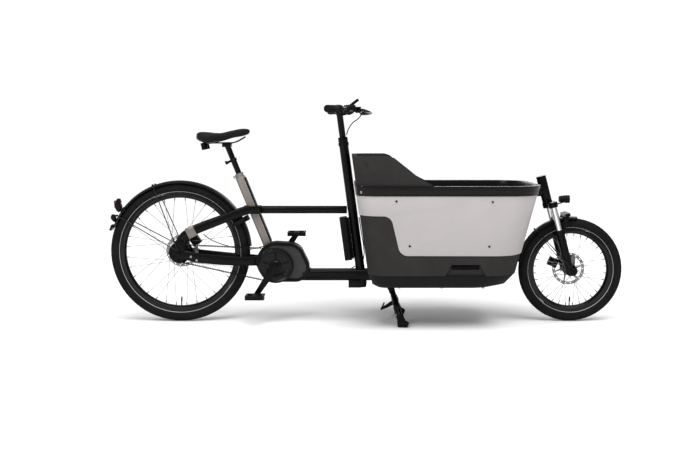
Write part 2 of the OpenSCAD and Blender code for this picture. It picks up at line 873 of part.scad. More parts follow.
module rear_tyre() {
  bike() color([0.06, 0.06, 0.06]) at_rear() tyre(rear_bead);
}
module rear_rim() {
  bike() color([0.05, 0.05, 0.05]) at_rear() rim(rear_bead);
}
module rear_spokes() {
  bike() color([0.75, 0.75, 0.75]) at_rear() spokes(rear_bead, 52, rear_flange[0], rear_flange[1], 46);
}
module rear_hub() {
  bike() color([0.08, 0.08, 0.08]) at_rear()
    hub_shell(46, 52, rear_flange[0], rear_flange[1], rear_disc_y + disc_t / 2 + 2);
}
module rear_disc() {
  bike() color([0.7, 0.7, 0.7]) at_rear() disc(rear_disc_y, 22.1);
}

module front_tyre() {
  bike() color([0.06, 0.06, 0.06]) at_front() tyre(front_bead);
}
module front_rim() {
  bike() color([0.05, 0.05, 0.05]) at_front() rim(front_bead);
}
module front_spokes() {
  bike() color([0.75, 0.75, 0.75]) at_front()
    spokes(front_bead, 28, front_flange[0], front_flange[1], 52);
}
module front_hub() {
  bike() color([0.08, 0.08, 0.08]) at_front()
    hub_shell(17, 28, front_flange[0], front_flange[1], front_disc_y + disc_t / 2 + 2);
}
module front_disc() {
  bike() color([0.7, 0.7, 0.7]) at_front() disc(front_disc_y, 22.1);
}

// ---------- fork ----------
module fork_crown() {
  bike() color([0.07, 0.07, 0.07]) on_fork() difference() {
    union() {
      translate([0, 0, crown_z]) linear_extrude(crown_h) {
        translate([leg_x, leg_y]) circle(leg_r + 2);
        translate([leg_x, -leg_y]) circle(leg_r + 2);
        translate([leg_x - 17, -leg_y]) square([34, 2 * leg_y]);
        circle(27);
      }
      translate([0, 0, crown_z]) cylinder(h = crown_h + head_len + 12, r = 15);
      translate([0, 0, crown_z + crown_h + head_len + 2 * gap]) cylinder(h = 14, r = 24);
    }
    both() translate([leg_x, leg_y, crown_z - 1]) cylinder(h = crown_h + 2, r = stanchion_d / 2);
  }
}

module stanchions() {
  bike() color([0.85, 0.85, 0.86]) on_fork() both() translate([leg_x, leg_y, 90])
    cylinder(h = crown_z + crown_h - 90 + 3, r = stanchion_d / 2 - 0.01);
}

module fork_lowers() {
  bike() color([0.06, 0.06, 0.06]) on_fork() difference() {
    union() {
      both() translate([leg_x, leg_y, -6]) cylinder(h = leg_top + 6, r = leg_r);
      both() translate([0, leg_y + 5, 0]) slab(-14, 9) pod([leg_x, 18], 19, [fork_rake, 0], 22);
      // Arch over the tyre, ahead of the legs
      both() sweep([
        [leg_x + 12, leg_y, leg_top - 26, 22, 20], [leg_x + 34, leg_y, leg_top + 24, 20, 18],
        [leg_x + 58, leg_y - 6, leg_top + 58, 18, 18]
      ], 12, 0.7);
      translate([leg_x + 46, -leg_y + 2, leg_top + 54]) cube([26, 2 * leg_y - 4, 14]);
      // Axle
      translate([fork_rake, 0, 0]) disc_y(axle_r, -leg_y - 12, leg_y + 12);
    }
    both() translate([leg_x, leg_y, 88 - fork_travel]) cylinder(h = 400, r = stanchion_d / 2 + fit);
  }
}

module front_fender() {
  bike() color([0.06, 0.06, 0.06]) at_front() {
    wheel_fender(front_r + 6.5, 3, 32, 84, 171);
    both() {
      rod([-20, -leg_y - leg_r - 10, 26], [-174, -37, 200], 2.2);
      rod([-174, -30, 200], [-174, -39, 200], 4.5);
      rod([-20, -leg_y - leg_r - 0.4, 26], [-20, -leg_y - leg_r - 13, 26], 6);
    }
  }
}

module front_caliper() {
  bike() color([0.09, 0.09, 0.09]) at_front() rotate([0, -156, 0]) translate([disc_r + 3, 0, 0])
    rotate([0, 90, 0]) caliper(front_disc_y);
}

module headlight() {
  bike() color([0.08, 0.08, 0.08]) on_fork() {
    translate([60, 0, crown_z + 26]) rotate([0, 90 + head_tilt, 0]) cylinder(h = 50, r1 = 15, r2 = 20);
    sweep([
      [leg_x + 18.6, 0, crown_z + 13, 20, 6], [leg_x + 36, 0, crown_z + 5, 20, 6],
      [leg_x + 56, 0, crown_z + 5, 18, 6], [leg_x + 62, 0, crown_z + 16, 18, 6]
    ], 12, 0.6);
  }
}

// ---------- handlebar ----------
module steering_shaft() {
  low = up_column(column_foot - 60) + 8.5;
  high = up_column(column_top) + 26;
  bike() color([0.07, 0.07, 0.07]) on_column() difference() {
    union() {
      translate([0, 0, low]) cylinder(h = high - low, r = shaft_r);
      translate([0, 0, up_column(column_top) + gap]) cylinder(h = 26, r = column_d / 2 + 1);
    }
    translate([0, 0, up_column(quill_low) - 60]) cylinder(h = 900, r = quill_d / 2 + fit);
  }
}

module stem() {
  low = up_column(quill_low);
  bike() color([0.06, 0.06, 0.06]) on_column() difference() {
    union() {
      translate([0, 0, low]) cylinder(h = up_column(stem_z) - low, r = quill_d / 2);
      translate([0, 0, up_column(stem_z) - 8]) cylinder(h = 26, r = quill_d / 2 + 4);
      translate([0, -17, up_column(stem_z) - 4]) cube([44, 34, 18]);
      translate([48, 19, up_column(stem_z) + 5]) rotate([90, 0, 0]) cylinder(h = 38, r = bar_d / 2 + 8);
    }
    translate([48, 100, up_column(stem_z) + 5]) rotate([90, 0, 0]) cylinder(h = 200, r = bar_d / 2 + fit);
  }
}

// Right half of the handlebar's centre line
bar_x = column_line(stem_z)[0] + 48 * cos(column_tilt) - 5 * sin(column_tilt);
bar_z = stem_z + 48 * sin(column_tilt) + 5;
grip_dir = unit([-65, -134, -2]);
grip_end = [738, -bar_half, bar_z + 2];
grip_len = 138;
grip_start = grip_end - grip_dir * grip_len;

function bar_side() = concat(
  curve([[bar_x, -24, bar_z], [bar_x + 2, -40, bar_z + 0.5], [bar_x + 14, -80, bar_z + 2],
    [bar_x + 10, -122, bar_z + 3], grip_start - grip_dir * 24], 3),
  [grip_end - grip_dir * 4]
);
module bar_tube(d) {
  side = bar_side();
  last = len(side) - 1;
  sweep(cord(concat(
    [for (i = [last : -1 : 0]) side[i]],
    [for (q = side) [q[0], -q[1], q[2]]]
  ), d), 16, 1, [0, 0, 1]);
}

module handlebar() {
  bike() color([0.06, 0.06, 0.06]) bar_tube(bar_d);
}

module grips() {
  bike() color([0.04, 0.04, 0.04]) both() difference() {
    rod(grip_start + grip_dir * 34, grip_end, 17.5);
    rod(grip_start, grip_end - grip_dir * 4, bar_d / 2 + 0.2);
  }
}

module gear_twist() {
  bike() color([0.05, 0.05, 0.05]) difference() {
    rod(grip_start, grip_start + grip_dir * 33.4, 19);
    rod(grip_start - grip_dir * 5, grip_start + grip_dir * 40, bar_d / 2 + fit * 2 + 0.1);
  }
}

// Brake perches with their reservoirs, and the display
perch = [bar_x + 13, -96, bar_z + 2.6];
lever_pivot = perch + [34, -14, 0];
module bar_controls() {
  bike() color([0.07, 0.07, 0.07]) {
    both() difference() {
      union() {
        rod(perch + [-1, 10, 0], perch + [-1, -10, 0], bar_d / 2 + 5);
        translate(perch + [8, -12, -9]) cube([18, 24, 18]);
        translate(lever_pivot + [-10, -10, -13]) cube([22, 24, 5]);
        translate(lever_pivot + [-10, -10, 8]) cube([22, 24, 5]);
        translate(lever_pivot + [-14, -10, -13]) cube([5, 24, 26]);
      }
      bar_tube(bar_d + 2 * gap);
      translate(lever_pivot + [0, 0, -7.9]) cylinder(h = 15.8, r = 8.5);
    }
    both() translate(lever_pivot + [0, 0, -12]) cylinder(h = 24, r = 3);
    difference() {
      union() {
        translate([bar_x + 12, -30, bar_z + 19]) rotate([0, -38, 0]) cube([48, 60, 13]);
        translate([bar_x - 4, -28, bar_z + 6]) cube([30, 8, 22]);
        rod([bar_x, -20.4, bar_z], [bar_x, -29, bar_z], bar_d / 2 + 5);
      }
      bar_tube(bar_d + 2 * gap);
    }
  }
}

module brake_lever() {
  difference() {
    union() {
      translate(lever_pivot + [0, 0, -7.6]) cylinder(h = 15.2, r = 8);
      sweep([
        [lever_pivot[0] + 2, lever_pivot[1] - 2, lever_pivot[2], 12, 13],
        [lever_pivot[0] + 26, lever_pivot[1] - 10, lever_pivot[2] - 2, 9, 11],
        [lever_pivot[0] + 52, lever_pivot[1] - 28, lever_pivot[2] - 12, 8, 10],
        [lever_pivot[0] + 60, lever_pivot[1] - 64, lever_pivot[2] - 18, 8, 10],
        [lever_pivot[0] + 36, lever_pivot[1] - 112, lever_pivot[2] - 19, 8, 10],
        [lever_pivot[0] + 16, lever_pivot[1] - 140, lever_pivot[2] - 18, 10, 12]
      ], 12, 0.8, [0, 0, 1]);
    }
    translate(lever_pivot + [0, 0, -20]) cylinder(h = 40, r = 3 + fit);
  }
}

module brake_lever_right() {
  bike() color([0.1, 0.1, 0.1]) brake_lever();
}
module brake_lever_left() {
  bike() color([0.1, 0.1, 0.1]) mirror([0, 1, 0]) brake_lever();
}

// ---------- hoses ----------
hose_d = 5;
bar_hose = [
  [881, -93, 1046], [899, -68, 1030], [886, -42, 1008], [858, -22, 988], [839, -12, 962],
  [830, -7, 940], [828, -6, 926]
];
rear_hose = [
  [889, 12, 520], [901, 14, 440], [915, 26, 340], [896, 46, 284], [800, 46, 240],
  [700, 46, 234], [640, 52, 262], [600, 62, 330], [500, 68, 380], [420, 62, 372],
  [330, 52, 350], [240, 58, 366], [150, 62, 396], [104, 60, 430]
];

module bar_hoses() {
  bike() color([0.04, 0.04, 0.04]) both() sweep(cord(curve(bar_hose, 2), hose_d), 8);
}

module frame_hoses() {
  bike() color([0.04, 0.04, 0.04]) sweep(cord(curve(rear_hose, 2), hose_d), 8, 1, [0.1, 0.9, 0.3]);
}

// ---------- seat ----------
post_top = 640;
rail_y = 20;
module seatpost() {
  low = 236;
  bike() color([0.06, 0.06, 0.06]) on_seat_tube() {
    translate([0, 0, low]) cylinder(h = post_top - low, r = post_d / 2);
    translate([0, 0, post_top - 10]) rotate([0, 90 - seat_angle, 0]) difference() {
      translate([-26, -27, 0]) cube([44, 54, 24]);
      for (s = [-1, 1]) translate([-40, s * rail_y, 20.4]) rotate([0, 90, 0]) cylinder(h = 80, r = 5.2);
    }
    // Reflector on its strap
    translate([0, 0, 556]) cylinder(h = 10, r = post_d / 2 + 3);
    translate([-post_d / 2 - 26, -22, 552]) cube([8, 44, 18]);
    translate([-post_d / 2 - 20, -5, 556]) cube([16, 10, 10]);
  }
}

clamp_c = seat_line(post_top) + [-6, 0, 10];
module saddle_rails() {
  bike() color([0.2, 0.2, 0.2]) both() sweep(cord(curve([
    clamp_c + [96, -12, 31], clamp_c + [64, -17, 12], clamp_c + [30, -rail_y, 1],
    clamp_c + [-34, -rail_y, 1], clamp_c + [-70, -28, 1], clamp_c + [-104, -36, 2]
  ], 2), 7), 10);
  bike() color([0.1, 0.1, 0.1]) both() translate(clamp_c + [-98, -40, -31]) rotate([0, -14, 0])
    cylinder(h = 34, r = 15);
}

// Plain solid of the saddle: [x, half width, top, underside] from tail to nose
saddle_form = [
  [92, 46, 938, 906], [108, 76, 944, 896], [150, 80, 942, 882], [178, 70, 939, 888],
  [215, 48, 939, 897], [262, 30, 950, 911], [310, 24, 959, 920], [340, 15, 958, 930],
  [350, 6, 950, 938]
];
module saddle() {
  bike() color([0.07, 0.07, 0.07]) difference() {
    sweep([
      for (q = saddle_form) [q[0], 0, (q[2] + q[3]) / 2, 2 * q[1], q[2] - q[3]]
    ], 20, 0.7);
    // Hollow underside, with room for the rails
    translate([96, -58, 800]) cube([92, 116, 98]);
    translate([180, -27, 800]) cube([70, 54, 99]);
  }
}

// ---------- centre stand ----------
foot_x = stand_x + 50;
foot_y = 178;
leg_head = [stand_x + 2, -ear_y - ear_t - 14, stand_z - 6];
leg_foot = [foot_x, -foot_y, 12];
module leg(e) {
  rod(leg_head, leg_foot + e * unit(leg_foot - leg_head), 13.5 + e);
}

module kickstand() {
  out = ear_y + ear_t + gap;
  bike() color([0.06, 0.06, 0.06]) {
    translate([stand_x, 0, stand_z]) {
      disc_y(13, gap - ear_y, ear_y - gap);
      disc_y(pin_r, -out - 16, out + 16);
      both() disc_y(14, -out - 15, -out);
    }
    both() leg(0);
    // Step tab on the left leg
    sweep(curve([
      [stand_x + 32, 128, 76, 22, 24], [stand_x + 6, 138, 62, 24, 22],
      [stand_x - 22, 144, 44, 26, 16], [stand_x - 44, 146, 34, 26, 12]
    ], 2), 12, 0.7);
    sweep([[stand_x - 45, 146, 29, 26, 8], [stand_x - 28, 146, 66, 24, 7]], 12, 0.7);
  }
}

// Rubber boots on the ends of the legs
module kickstand_feet() {
  axis = unit(leg_foot - leg_head);
  bike() color([0.05, 0.05, 0.05]) both() difference() {
    union() {
      rod(leg_foot - axis * 46, leg_foot - axis * 4, 18.5);
      translate([foot_x + 3, -foot_y - 4, 0]) linear_extrude(26) rounded(56, 44, 14);
    }
    leg(0.1);
  }
}

seat_tube();
top_tube();
upper_stays();
belt_sleeve();
lower_stays();
motor_cradle();
main_beam();
steering_column();
nose_frame();
motor_housing();
motor_cover();
battery();
cargo_shell();
side_panels();
backrest_shell();
box_rim();
base_tray();
panel_screws();
rear_fender();
tail_light();
rear_caliper();
ring_lock();
rear_axle();
drive_belt();
frame_hoses();
seatpost();
saddle_rails();
saddle();
steering_shaft();
stem();
handlebar();
grips();
bar_controls();
gear_twist();
brake_lever_right();
brake_lever_left();
bar_hoses();
fork_crown();
stanchions();
headlight();
fork_lowers();
front_fender();
front_caliper();
front_tyre();
front_rim();
front_spokes();
front_hub();
front_disc();
rear_tyre();
rear_rim();
rear_spokes();
rear_hub();
rear_disc();
rear_pulley();
cranks();
front_pulley();
pedal_right();
pedal_left();
kickstand();
kickstand_feet();
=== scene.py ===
import json
import math

import bmesh
import bpy
from bpy.props import FloatProperty, FloatVectorProperty, IntProperty, PointerProperty
from mathutils import Matrix, Vector

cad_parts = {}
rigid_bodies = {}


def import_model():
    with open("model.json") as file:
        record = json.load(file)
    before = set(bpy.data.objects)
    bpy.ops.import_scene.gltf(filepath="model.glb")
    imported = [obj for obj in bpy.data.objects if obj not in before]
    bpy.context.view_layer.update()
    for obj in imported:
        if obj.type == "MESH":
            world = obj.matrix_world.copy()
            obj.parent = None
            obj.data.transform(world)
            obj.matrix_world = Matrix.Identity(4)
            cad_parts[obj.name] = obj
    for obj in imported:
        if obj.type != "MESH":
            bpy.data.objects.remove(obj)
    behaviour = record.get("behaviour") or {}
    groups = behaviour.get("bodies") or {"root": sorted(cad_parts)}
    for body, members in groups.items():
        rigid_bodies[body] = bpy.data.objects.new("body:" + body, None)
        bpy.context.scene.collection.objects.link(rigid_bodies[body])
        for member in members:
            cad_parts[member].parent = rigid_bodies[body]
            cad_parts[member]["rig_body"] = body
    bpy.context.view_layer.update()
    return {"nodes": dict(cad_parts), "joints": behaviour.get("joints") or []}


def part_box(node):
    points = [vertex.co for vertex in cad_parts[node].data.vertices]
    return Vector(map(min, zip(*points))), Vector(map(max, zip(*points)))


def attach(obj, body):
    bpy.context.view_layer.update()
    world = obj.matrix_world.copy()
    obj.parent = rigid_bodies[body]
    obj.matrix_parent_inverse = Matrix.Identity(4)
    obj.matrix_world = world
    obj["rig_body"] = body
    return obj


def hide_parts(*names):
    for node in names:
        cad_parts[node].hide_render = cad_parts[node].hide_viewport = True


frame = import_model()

bl_info = {
    "name": "Cargo bicycle",
    "version": (1, 0, 0),
    "blender": (4, 5, 0),
    "location": "View3D > Sidebar > Cargo bicycle",
    "description": "Finishes and fine pieces of a front-loading cargo bicycle, on its CAD frame",
    "category": "Add Mesh",
}

JOINTS = {joint["name"]: joint for joint in frame["joints"]}


def joint_point(name):
    return Vector(JOINTS[name]["pos_m"])


REAR = joint_point("rear_wheel_spin")
FRONT = joint_point("front_wheel_spin")
CRANK = joint_point("crank_spin")
SIDEWAYS = Vector((0, 1, 0))
UP = Vector((0, 0, 1))
# Points are drawn from the rear axle, and the model's middle lies X_MID ahead of it
X_MID = -REAR.x


def at(x, y, z):
    """A point given in millimetres from the rear axle, the middle plane and the ground."""
    return Vector((x / 1000 - X_MID, y / 1000, z / 1000))


# ---------------------------------------------------------------- mesh helpers
def slanted(origin, x_axis, y_axis, z_axis, size=(1, 1, 1)):
    """A matrix from three directions, their lengths and an origin."""
    m = Matrix.Identity(4)
    for column, (axis, length) in enumerate(zip((x_axis, y_axis, z_axis), size)):
        for row in range(3):
            m[row][column] = axis[row] * length
    m.translation = origin
    return m


def frame_along(direction, hint=None):
    """Two unit directions square to the given one, then its own."""
    d = direction.normalized()
    side = (hint or (UP if abs(d.z) < 0.9 else Vector((1, 0, 0)))).cross(d).normalized()
    return side, d.cross(side).normalized(), d


def edges_among(verts):
    """The edges whose ends are both among the vertices."""
    group = set(verts)
    return [e for e in {e for v in verts for e in v.link_edges} if set(e.verts) <= group]


def soften(bm, verts, width, segments=2, sharper=math.radians(30)):
    """Rounds the sharp edges among the vertices."""
    edges = [e for e in edges_among(verts)
             if len(e.link_faces) == 2 and e.calc_face_angle(0) > sharper]
    if edges and width > 0:
        bmesh.ops.bevel(bm, geom=edges, offset=width, offset_type="OFFSET", affect="EDGES",
                        segments=segments, profile=0.5, material=-1, clamp_overlap=True)


def add_box(bm, centre, size, axes=None, edge=0.0, segments=2):
    """A block with rounded edges; size in metres along its own axes."""
    x, y, z = axes or (Vector((1, 0, 0)), SIDEWAYS, UP)
    made = bmesh.ops.create_cube(bm, size=1, matrix=slanted(centre, x, y, z, size))
    soften(bm, made["verts"], edge, segments)


def add_rod(bm, start, end, r1, r2=None, sides=20, edge=0.0):
    """A round rod or cone between two points."""
    side, other, d = frame_along(end - start)
    made = bmesh.ops.create_cone(
        bm, cap_ends=True, segments=sides, radius1=r1, radius2=r1 if r2 is None else r2,
        depth=(end - start).length, matrix=slanted((start + end) / 2, side, other, d))
    soften(bm, made["verts"], edge, 2, math.radians(50))


def add_lathe(bm, profile, centre, axis=SIDEWAYS, steps=64, closed=False):
    """Spins a profile of (radius, distance along the axis) all the way round."""
    side, _, d = frame_along(axis)
    verts = [bm.verts.new(centre + side * r + d * a) for r, a in profile]
    pairs = list(zip(verts, verts[1:])) + ([(verts[-1], verts[0])] if closed else [])
    edges = [bm.edges.new(pair) for pair in pairs]
    bmesh.ops.spin(bm, geom=verts + edges, cent=centre, axis=d, dvec=(0, 0, 0),
                   angle=2 * math.pi, steps=steps, use_merge=True)


def add_sweep(bm, points, sizes, sides=12, hint=None, power=1.0):
    """A tube through points; sizes is one (width, height) or one for each point."""
    sizes = sizes if isinstance(sizes, list) else [sizes] * len(points)
    hint = hint or SIDEWAYS
    spots = []
    for i, p in enumerate(points):
        d = (points[min(i + 1, len(points) - 1)] - points[max(i - 1, 0)]).normalized()
        side = (hint - d * hint.dot(d)).normalized()
        spots.append(slanted(p, side, d.cross(side), d, (sizes[i][0] / 2, sizes[i][1] / 2, 1)))
    ring = bmesh.ops.create_circle(bm, cap_ends=False, segments=sides, radius=1)["verts"]
    for v in ring:
        for k in (0, 1):
            v.co[k] = math.copysign(abs(v.co[k]) ** power, v.co[k])
    bmesh.ops.transform(bm, matrix=spots[0], verts=ring)
    edges = edges_among(ring)
    first = list(edges)
    for before, after in zip(spots, spots[1:]):
        grown = bmesh.ops.extrude_edge_only(bm, edges=edges)["geom"]
        ring = [g for g in grown if isinstance(g, bmesh.types.BMVert)]
        bmesh.ops.transform(bm, matrix=after @ before.inverted(), verts=ring)
        edges = edges_among(ring)
    for loop in (first, edges):
        bmesh.ops.edgeloop_fill(bm, edges=loop)


def curved(points, steps=6):
    """Points of a smooth line through the given ones."""
    out = []
    for i in range(len(points) - 1):
        a, b = points[max(i - 1, 0)], points[i]
        c, d = points[i + 1], points[min(i + 2, len(points) - 1)]
        for k in range(steps):
            t = k / steps
            out.append(0.5 * (2 * b + (c - a) * t + (2 * a - 5 * b + 4 * c - d) * t * t
                              + (3 * b - a - 3 * c + d) * t ** 3))
    return out + [points[-1]]


def finish_piece(name, bm, look, body, smooth=38.0, replaces=(), outward=True):
    """Closes a mesh, shades it, gives it its finish and sets it on its body."""
    bmesh.ops.remove_doubles(bm, verts=bm.verts, dist=1e-6)
    if outward:
        bmesh.ops.recalc_face_normals(bm, faces=bm.faces)
    limit = math.radians(smooth)
    for face in bm.faces:
        face.smooth = True
    for edge in bm.edges:
        if len(edge.link_faces) == 2:
            edge.smooth = edge.calc_face_angle(0) < limit
    mesh = bpy.data.meshes.new(name)
    bm.to_mesh(mesh)
    bm.free()
    obj = bpy.data.objects.new(name, mesh)
    bpy.context.scene.collection.objects.link(obj)
    mesh.materials.append(look)
    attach(obj, body)
    if replaces:
        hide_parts(*replaces)
    return obj


def rounded_copy(node, look, width, segments=2, sharper=32.0, smooth=40.0):
    """A merged copy of a CAD node with its edges rounded, standing for the node."""
    source = frame["nodes"][node]
    bm = bmesh.new()
    bm.from_mesh(source.data)
    bmesh.ops.remove_doubles(bm, verts=bm.verts, dist=2e-5)
    bmesh.ops.dissolve_limit(bm, angle_limit=math.radians(0.8), verts=bm.verts, edges=bm.edges)
    if width > 0:
        soften(bm, list(bm.verts), width, segments, math.radians(sharper))
    return finish_piece(node + "_finished", bm, look, source["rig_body"], smooth, (node,),
                        outward=False)


def add_bolt(bm, foot, out, radius, head=0.004):
    """A bolt's washer and domed head with a round socket."""
    r = radius
    add_lathe(bm, [(0, 0), (r * 1.5, 0), (r * 1.5, head * 0.25), (r, head * 0.3), (r, head * 0.8),
                   (r * 0.82, head), (r * 0.5, head), (r * 0.45, head * 0.4), (0, head * 0.35)],
              foot, out.normalized(), 18)


# ---------------------------------------------------------------- places
SEAT_LEAN = math.radians(68)
SEAT_AXIS = Vector((-math.cos(SEAT_LEAN), 0, math.sin(SEAT_LEAN)))
SEAT_AHEAD = Vector((math.sin(SEAT_LEAN), 0, math.cos(SEAT_LEAN)))


def seat_line(along, ahead=0.0):
    """A point in millimetres up the seat tube's axis and ahead of it."""
    return CRANK + SEAT_AXIS * (along / 1000) + SEAT_AHEAD * (ahead / 1000)


# The fork leans back by HEAD_LEAN, and its axle lies FORK_RAKE millimetres ahead of its axis
HEAD_LEAN = math.radians(15)
FORK_UP = Vector((-math.sin(HEAD_LEAN), 0, math.cos(HEAD_LEAN)))
FORK_AHEAD = Vector((math.cos(HEAD_LEAN), 0, math.sin(HEAD_LEAN)))
FORK_RAKE = 27


def at_fork(ahead, up):
    """A point in millimetres ahead of the steering axis and up it from the axle's height."""
    return FRONT + FORK_AHEAD * ((ahead - FORK_RAKE) / 1000) + FORK_UP * (up / 1000)


# The handlebar's middle, then the cargo box at its floor and its rim, in millimetres
BAR_X, BAR_Z = 838.3, 1047.3
BOX_FLOOR, BOX_RIM = 265, 690
FLOOR_HALF, RIM_HALF = 286, 318
FLOOR_NOSE, NOSE_SLOPE = 1644, 0.247
FLOOR_TAIL, TAIL_SLOPE = 930, 0.141
NOSE_ROUND = 150


def box_half(z):
    """Half the box's width at a height, in millimetres."""
    return FLOOR_HALF + (RIM_HALF - FLOOR_HALF) * (z - BOX_FLOOR) / (BOX_RIM - BOX_FLOOR)


def box_outline(z, grown, start=-1e9, steps=14):
    """The box's outline at a height, in points from one side round the nose to the other."""
    nose = FLOOR_NOSE + (z - BOX_FLOOR) * NOSE_SLOPE + grown
    tail = FLOOR_TAIL - (z - BOX_FLOOR) * TAIL_SLOPE - grown
    y = box_half(z) + grown
    r = NOSE_ROUND + grown
    start = max(start, tail + 90)
    half = [at(start + (nose - r - start) * i / 12, -y, z) for i in range(12)]
    half += [at(nose - r + r * math.sin(a), -(y - r) - r * math.cos(a), z)
             for a in (math.pi / 2 * i / steps for i in range(steps + 1))]
    across = [at(nose, -(y - r) + 2 * (y - r) * i / 8, z) for i in range(1, 8)]
    return half + across + [Vector((p.x, -p.y, p.z)) for p in reversed(half)]


# ---------------------------------------------------------------- finishes
LOOKS = {}


class Shading:
    """A small hand for one material's nodes."""

    def __init__(self, name):
        self.material = bpy.data.materials.new(name)
        self.material.use_nodes = True
        self.tree = self.material.node_tree
        self.shader = self.tree.nodes["Principled BSDF"]
        self.place = self.add("ShaderNodeTexCoord").outputs["Object"]

    def add(self, kind, **values):
        node = self.tree.nodes.new(kind)
        for key, value in values.items():
            setattr(node, key, value)
        return node

    def join(self, a, b):
        self.tree.links.new(a, b)

    def mapped(self, scale=(1, 1, 1), location=(0, 0, 0)):
        node = self.add("ShaderNodeMapping")
        node.inputs["Scale"].default_value = scale
        node.inputs["Location"].default_value = location
        self.join(self.place, node.inputs["Vector"])
        return node.outputs["Vector"]

    def from_axle(self, centre):
        """Distance from a wheel's axle, in metres."""
        parts = self.add("ShaderNodeSeparateXYZ")
        self.join(self.mapped(location=tuple(-c for c in centre)), parts.inputs[0])
        flat = self.add("ShaderNodeCombineXYZ")
        for key in ("X", "Z"):
            self.join(parts.outputs[key], flat.inputs[key])
        length = self.add("ShaderNodeVectorMath", operation="LENGTH")
        self.join(flat.outputs[0], length.inputs[0])
        return length.outputs["Value"]

    def noise(self, scale, detail=3.0, rough=0.55, source=None):
        node = self.add("ShaderNodeTexNoise")
        node.inputs["Scale"].default_value = scale
        node.inputs["Detail"].default_value = detail
        node.inputs["Roughness"].default_value = rough
        self.join(source or self.place, node.inputs["Vector"])
        return node.outputs["Fac"]

    def cells(self, scale, feature="F1"):
        node = self.add("ShaderNodeTexVoronoi", feature=feature)
        node.inputs["Scale"].default_value = scale
        self.join(self.place, node.inputs["Vector"])
        return node.outputs["Distance"]

    def ranged(self, source, low, high, from_low=0.0, from_high=1.0):
        """The source's range from_low to from_high, turned into low to high."""
        node = self.add("ShaderNodeMapRange")
        for key, value in (("From Min", from_low), ("From Max", from_high),
                           ("To Min", low), ("To Max", high)):
            node.inputs[key].default_value = value
        self.join(source, node.inputs["Value"])
        return node.outputs["Result"]

    def math(self, operation, a, b=None):
        node = self.add("ShaderNodeMath", operation=operation)
        for socket, value in zip(node.inputs, (a, b)):
            if value is None:
                continue
            if isinstance(value, (int, float)):
                socket.default_value = value
            else:
                self.join(value, socket)
        return node.outputs["Value"]

    def mixed(self, share, a, b):
        node = self.add("ShaderNodeMix", data_type="RGBA")
        for socket, value in ((node.inputs[6], a), (node.inputs[7], b)):
            if isinstance(value, (tuple, list)):
                socket.default_value = (*value[:3], 1)
            else:
                self.join(value, socket)
        self.join(share, node.inputs[0])
        return node.outputs[2]

    def bumped(self, height, strength, distance, before=None):
        node = self.add("ShaderNodeBump")
        node.inputs["Strength"].default_value = strength
        node.inputs["Distance"].default_value = distance
        self.join(height, node.inputs["Height"])
        if before:
            self.join(before, node.inputs["Normal"])
        return node.outputs["Normal"]

    def set(self, **values):
        for key, value in values.items():
            socket = self.shader.inputs[key.replace("_", " ")]
            if hasattr(value, "is_linked"):
                self.join(value, socket)
            else:
                socket.default_value = value


def shade(colour, factor):
    return tuple(min(1.0, c * factor) for c in colour[:3])


def mottled(s, colour, spread=0.14, scale=7.0):
    """Slow colour drift, as any painted or moulded surface has."""
    share = s.ranged(s.noise(scale, 4), 0, 1, 0.3, 0.7)
    return s.mixed(share, shade(colour, 1 - spread), shade(colour, 1 + spread))


DUST = (0.42, 0.41, 0.39)


def painted(name, colour, rough=0.4, coat=0.3, metal=0.0, peel=0.05, dust=0.008, gloss=0.12,
            drift=0.14):
    """Powder coat or paint: orange peel, drift in colour and gloss, a little dust lying on top."""
    s = Shading(name)
    base = mottled(s, colour, drift)
    up = s.add("ShaderNodeSeparateXYZ")
    s.join(s.add("ShaderNodeNewGeometry").outputs["Normal"], up.inputs[0])
    lying = s.math("MULTIPLY", s.ranged(up.outputs["Z"], 0, dust, 0.6, 1.0),
                   s.ranged(s.noise(38, 5), 0.2, 1, 0.35, 0.7))
    s.set(Base_Color=s.mixed(lying, base, DUST),
          Roughness=s.ranged(s.noise(24, 5), rough - 0.07, rough + 0.08, 0.3, 0.7),
          Metallic=metal, Coat_Weight=coat, Coat_Roughness=0.22, Specular_IOR_Level=gloss,
          Normal=s.bumped(s.noise(520, 2), peel, 0.0006))
    LOOKS[name] = s.material


def moulded(name, colour, rough=0.55, grain=0.35, scale=1100.0, coat=0.0, spread=0.16, gloss=0.1):
    """Moulded plastic or foam with a fine spark-eroded grain."""
    s = Shading(name)
    grains = s.math("ADD", s.cells(scale), s.math("MULTIPLY", s.noise(scale * 0.4, 3), 0.8))
    base = s.mixed(s.ranged(grains, 0, 0.5, 0.2, 1.2), mottled(s, colour, spread), shade(colour, 1.5))
    s.set(Base_Color=base,
          Roughness=s.ranged(s.noise(17, 5), rough - 0.07, rough + 0.07, 0.3, 0.7),
          Coat_Weight=coat, Coat_Roughness=0.2, Specular_IOR_Level=gloss,
          Normal=s.bumped(grains, grain, 0.0005))
    LOOKS[name] = s.material


def metal(name, colour, rough=0.3, lines=(1, 1, 1), scale=260.0, depth=0.05, coat=0.0):
    """Bare or anodised metal with brushing drawn out along the lines' small axis."""
    s = Shading(name)
    stretched = s.mapped(scale=lines)
    streaks = s.noise(scale, 4, 0.6, stretched)
    s.set(Base_Color=s.mixed(s.ranged(streaks, 0, 1, 0.3, 0.7), shade(colour, 0.82), shade(colour, 1.12)),
          Roughness=s.ranged(streaks, rough - 0.08, rough + 0.1, 0.3, 0.7),
          Metallic=1.0, Coat_Weight=coat, Coat_Roughness=0.15,
          Normal=s.bumped(streaks, depth, 0.0003))
    LOOKS[name] = s.material


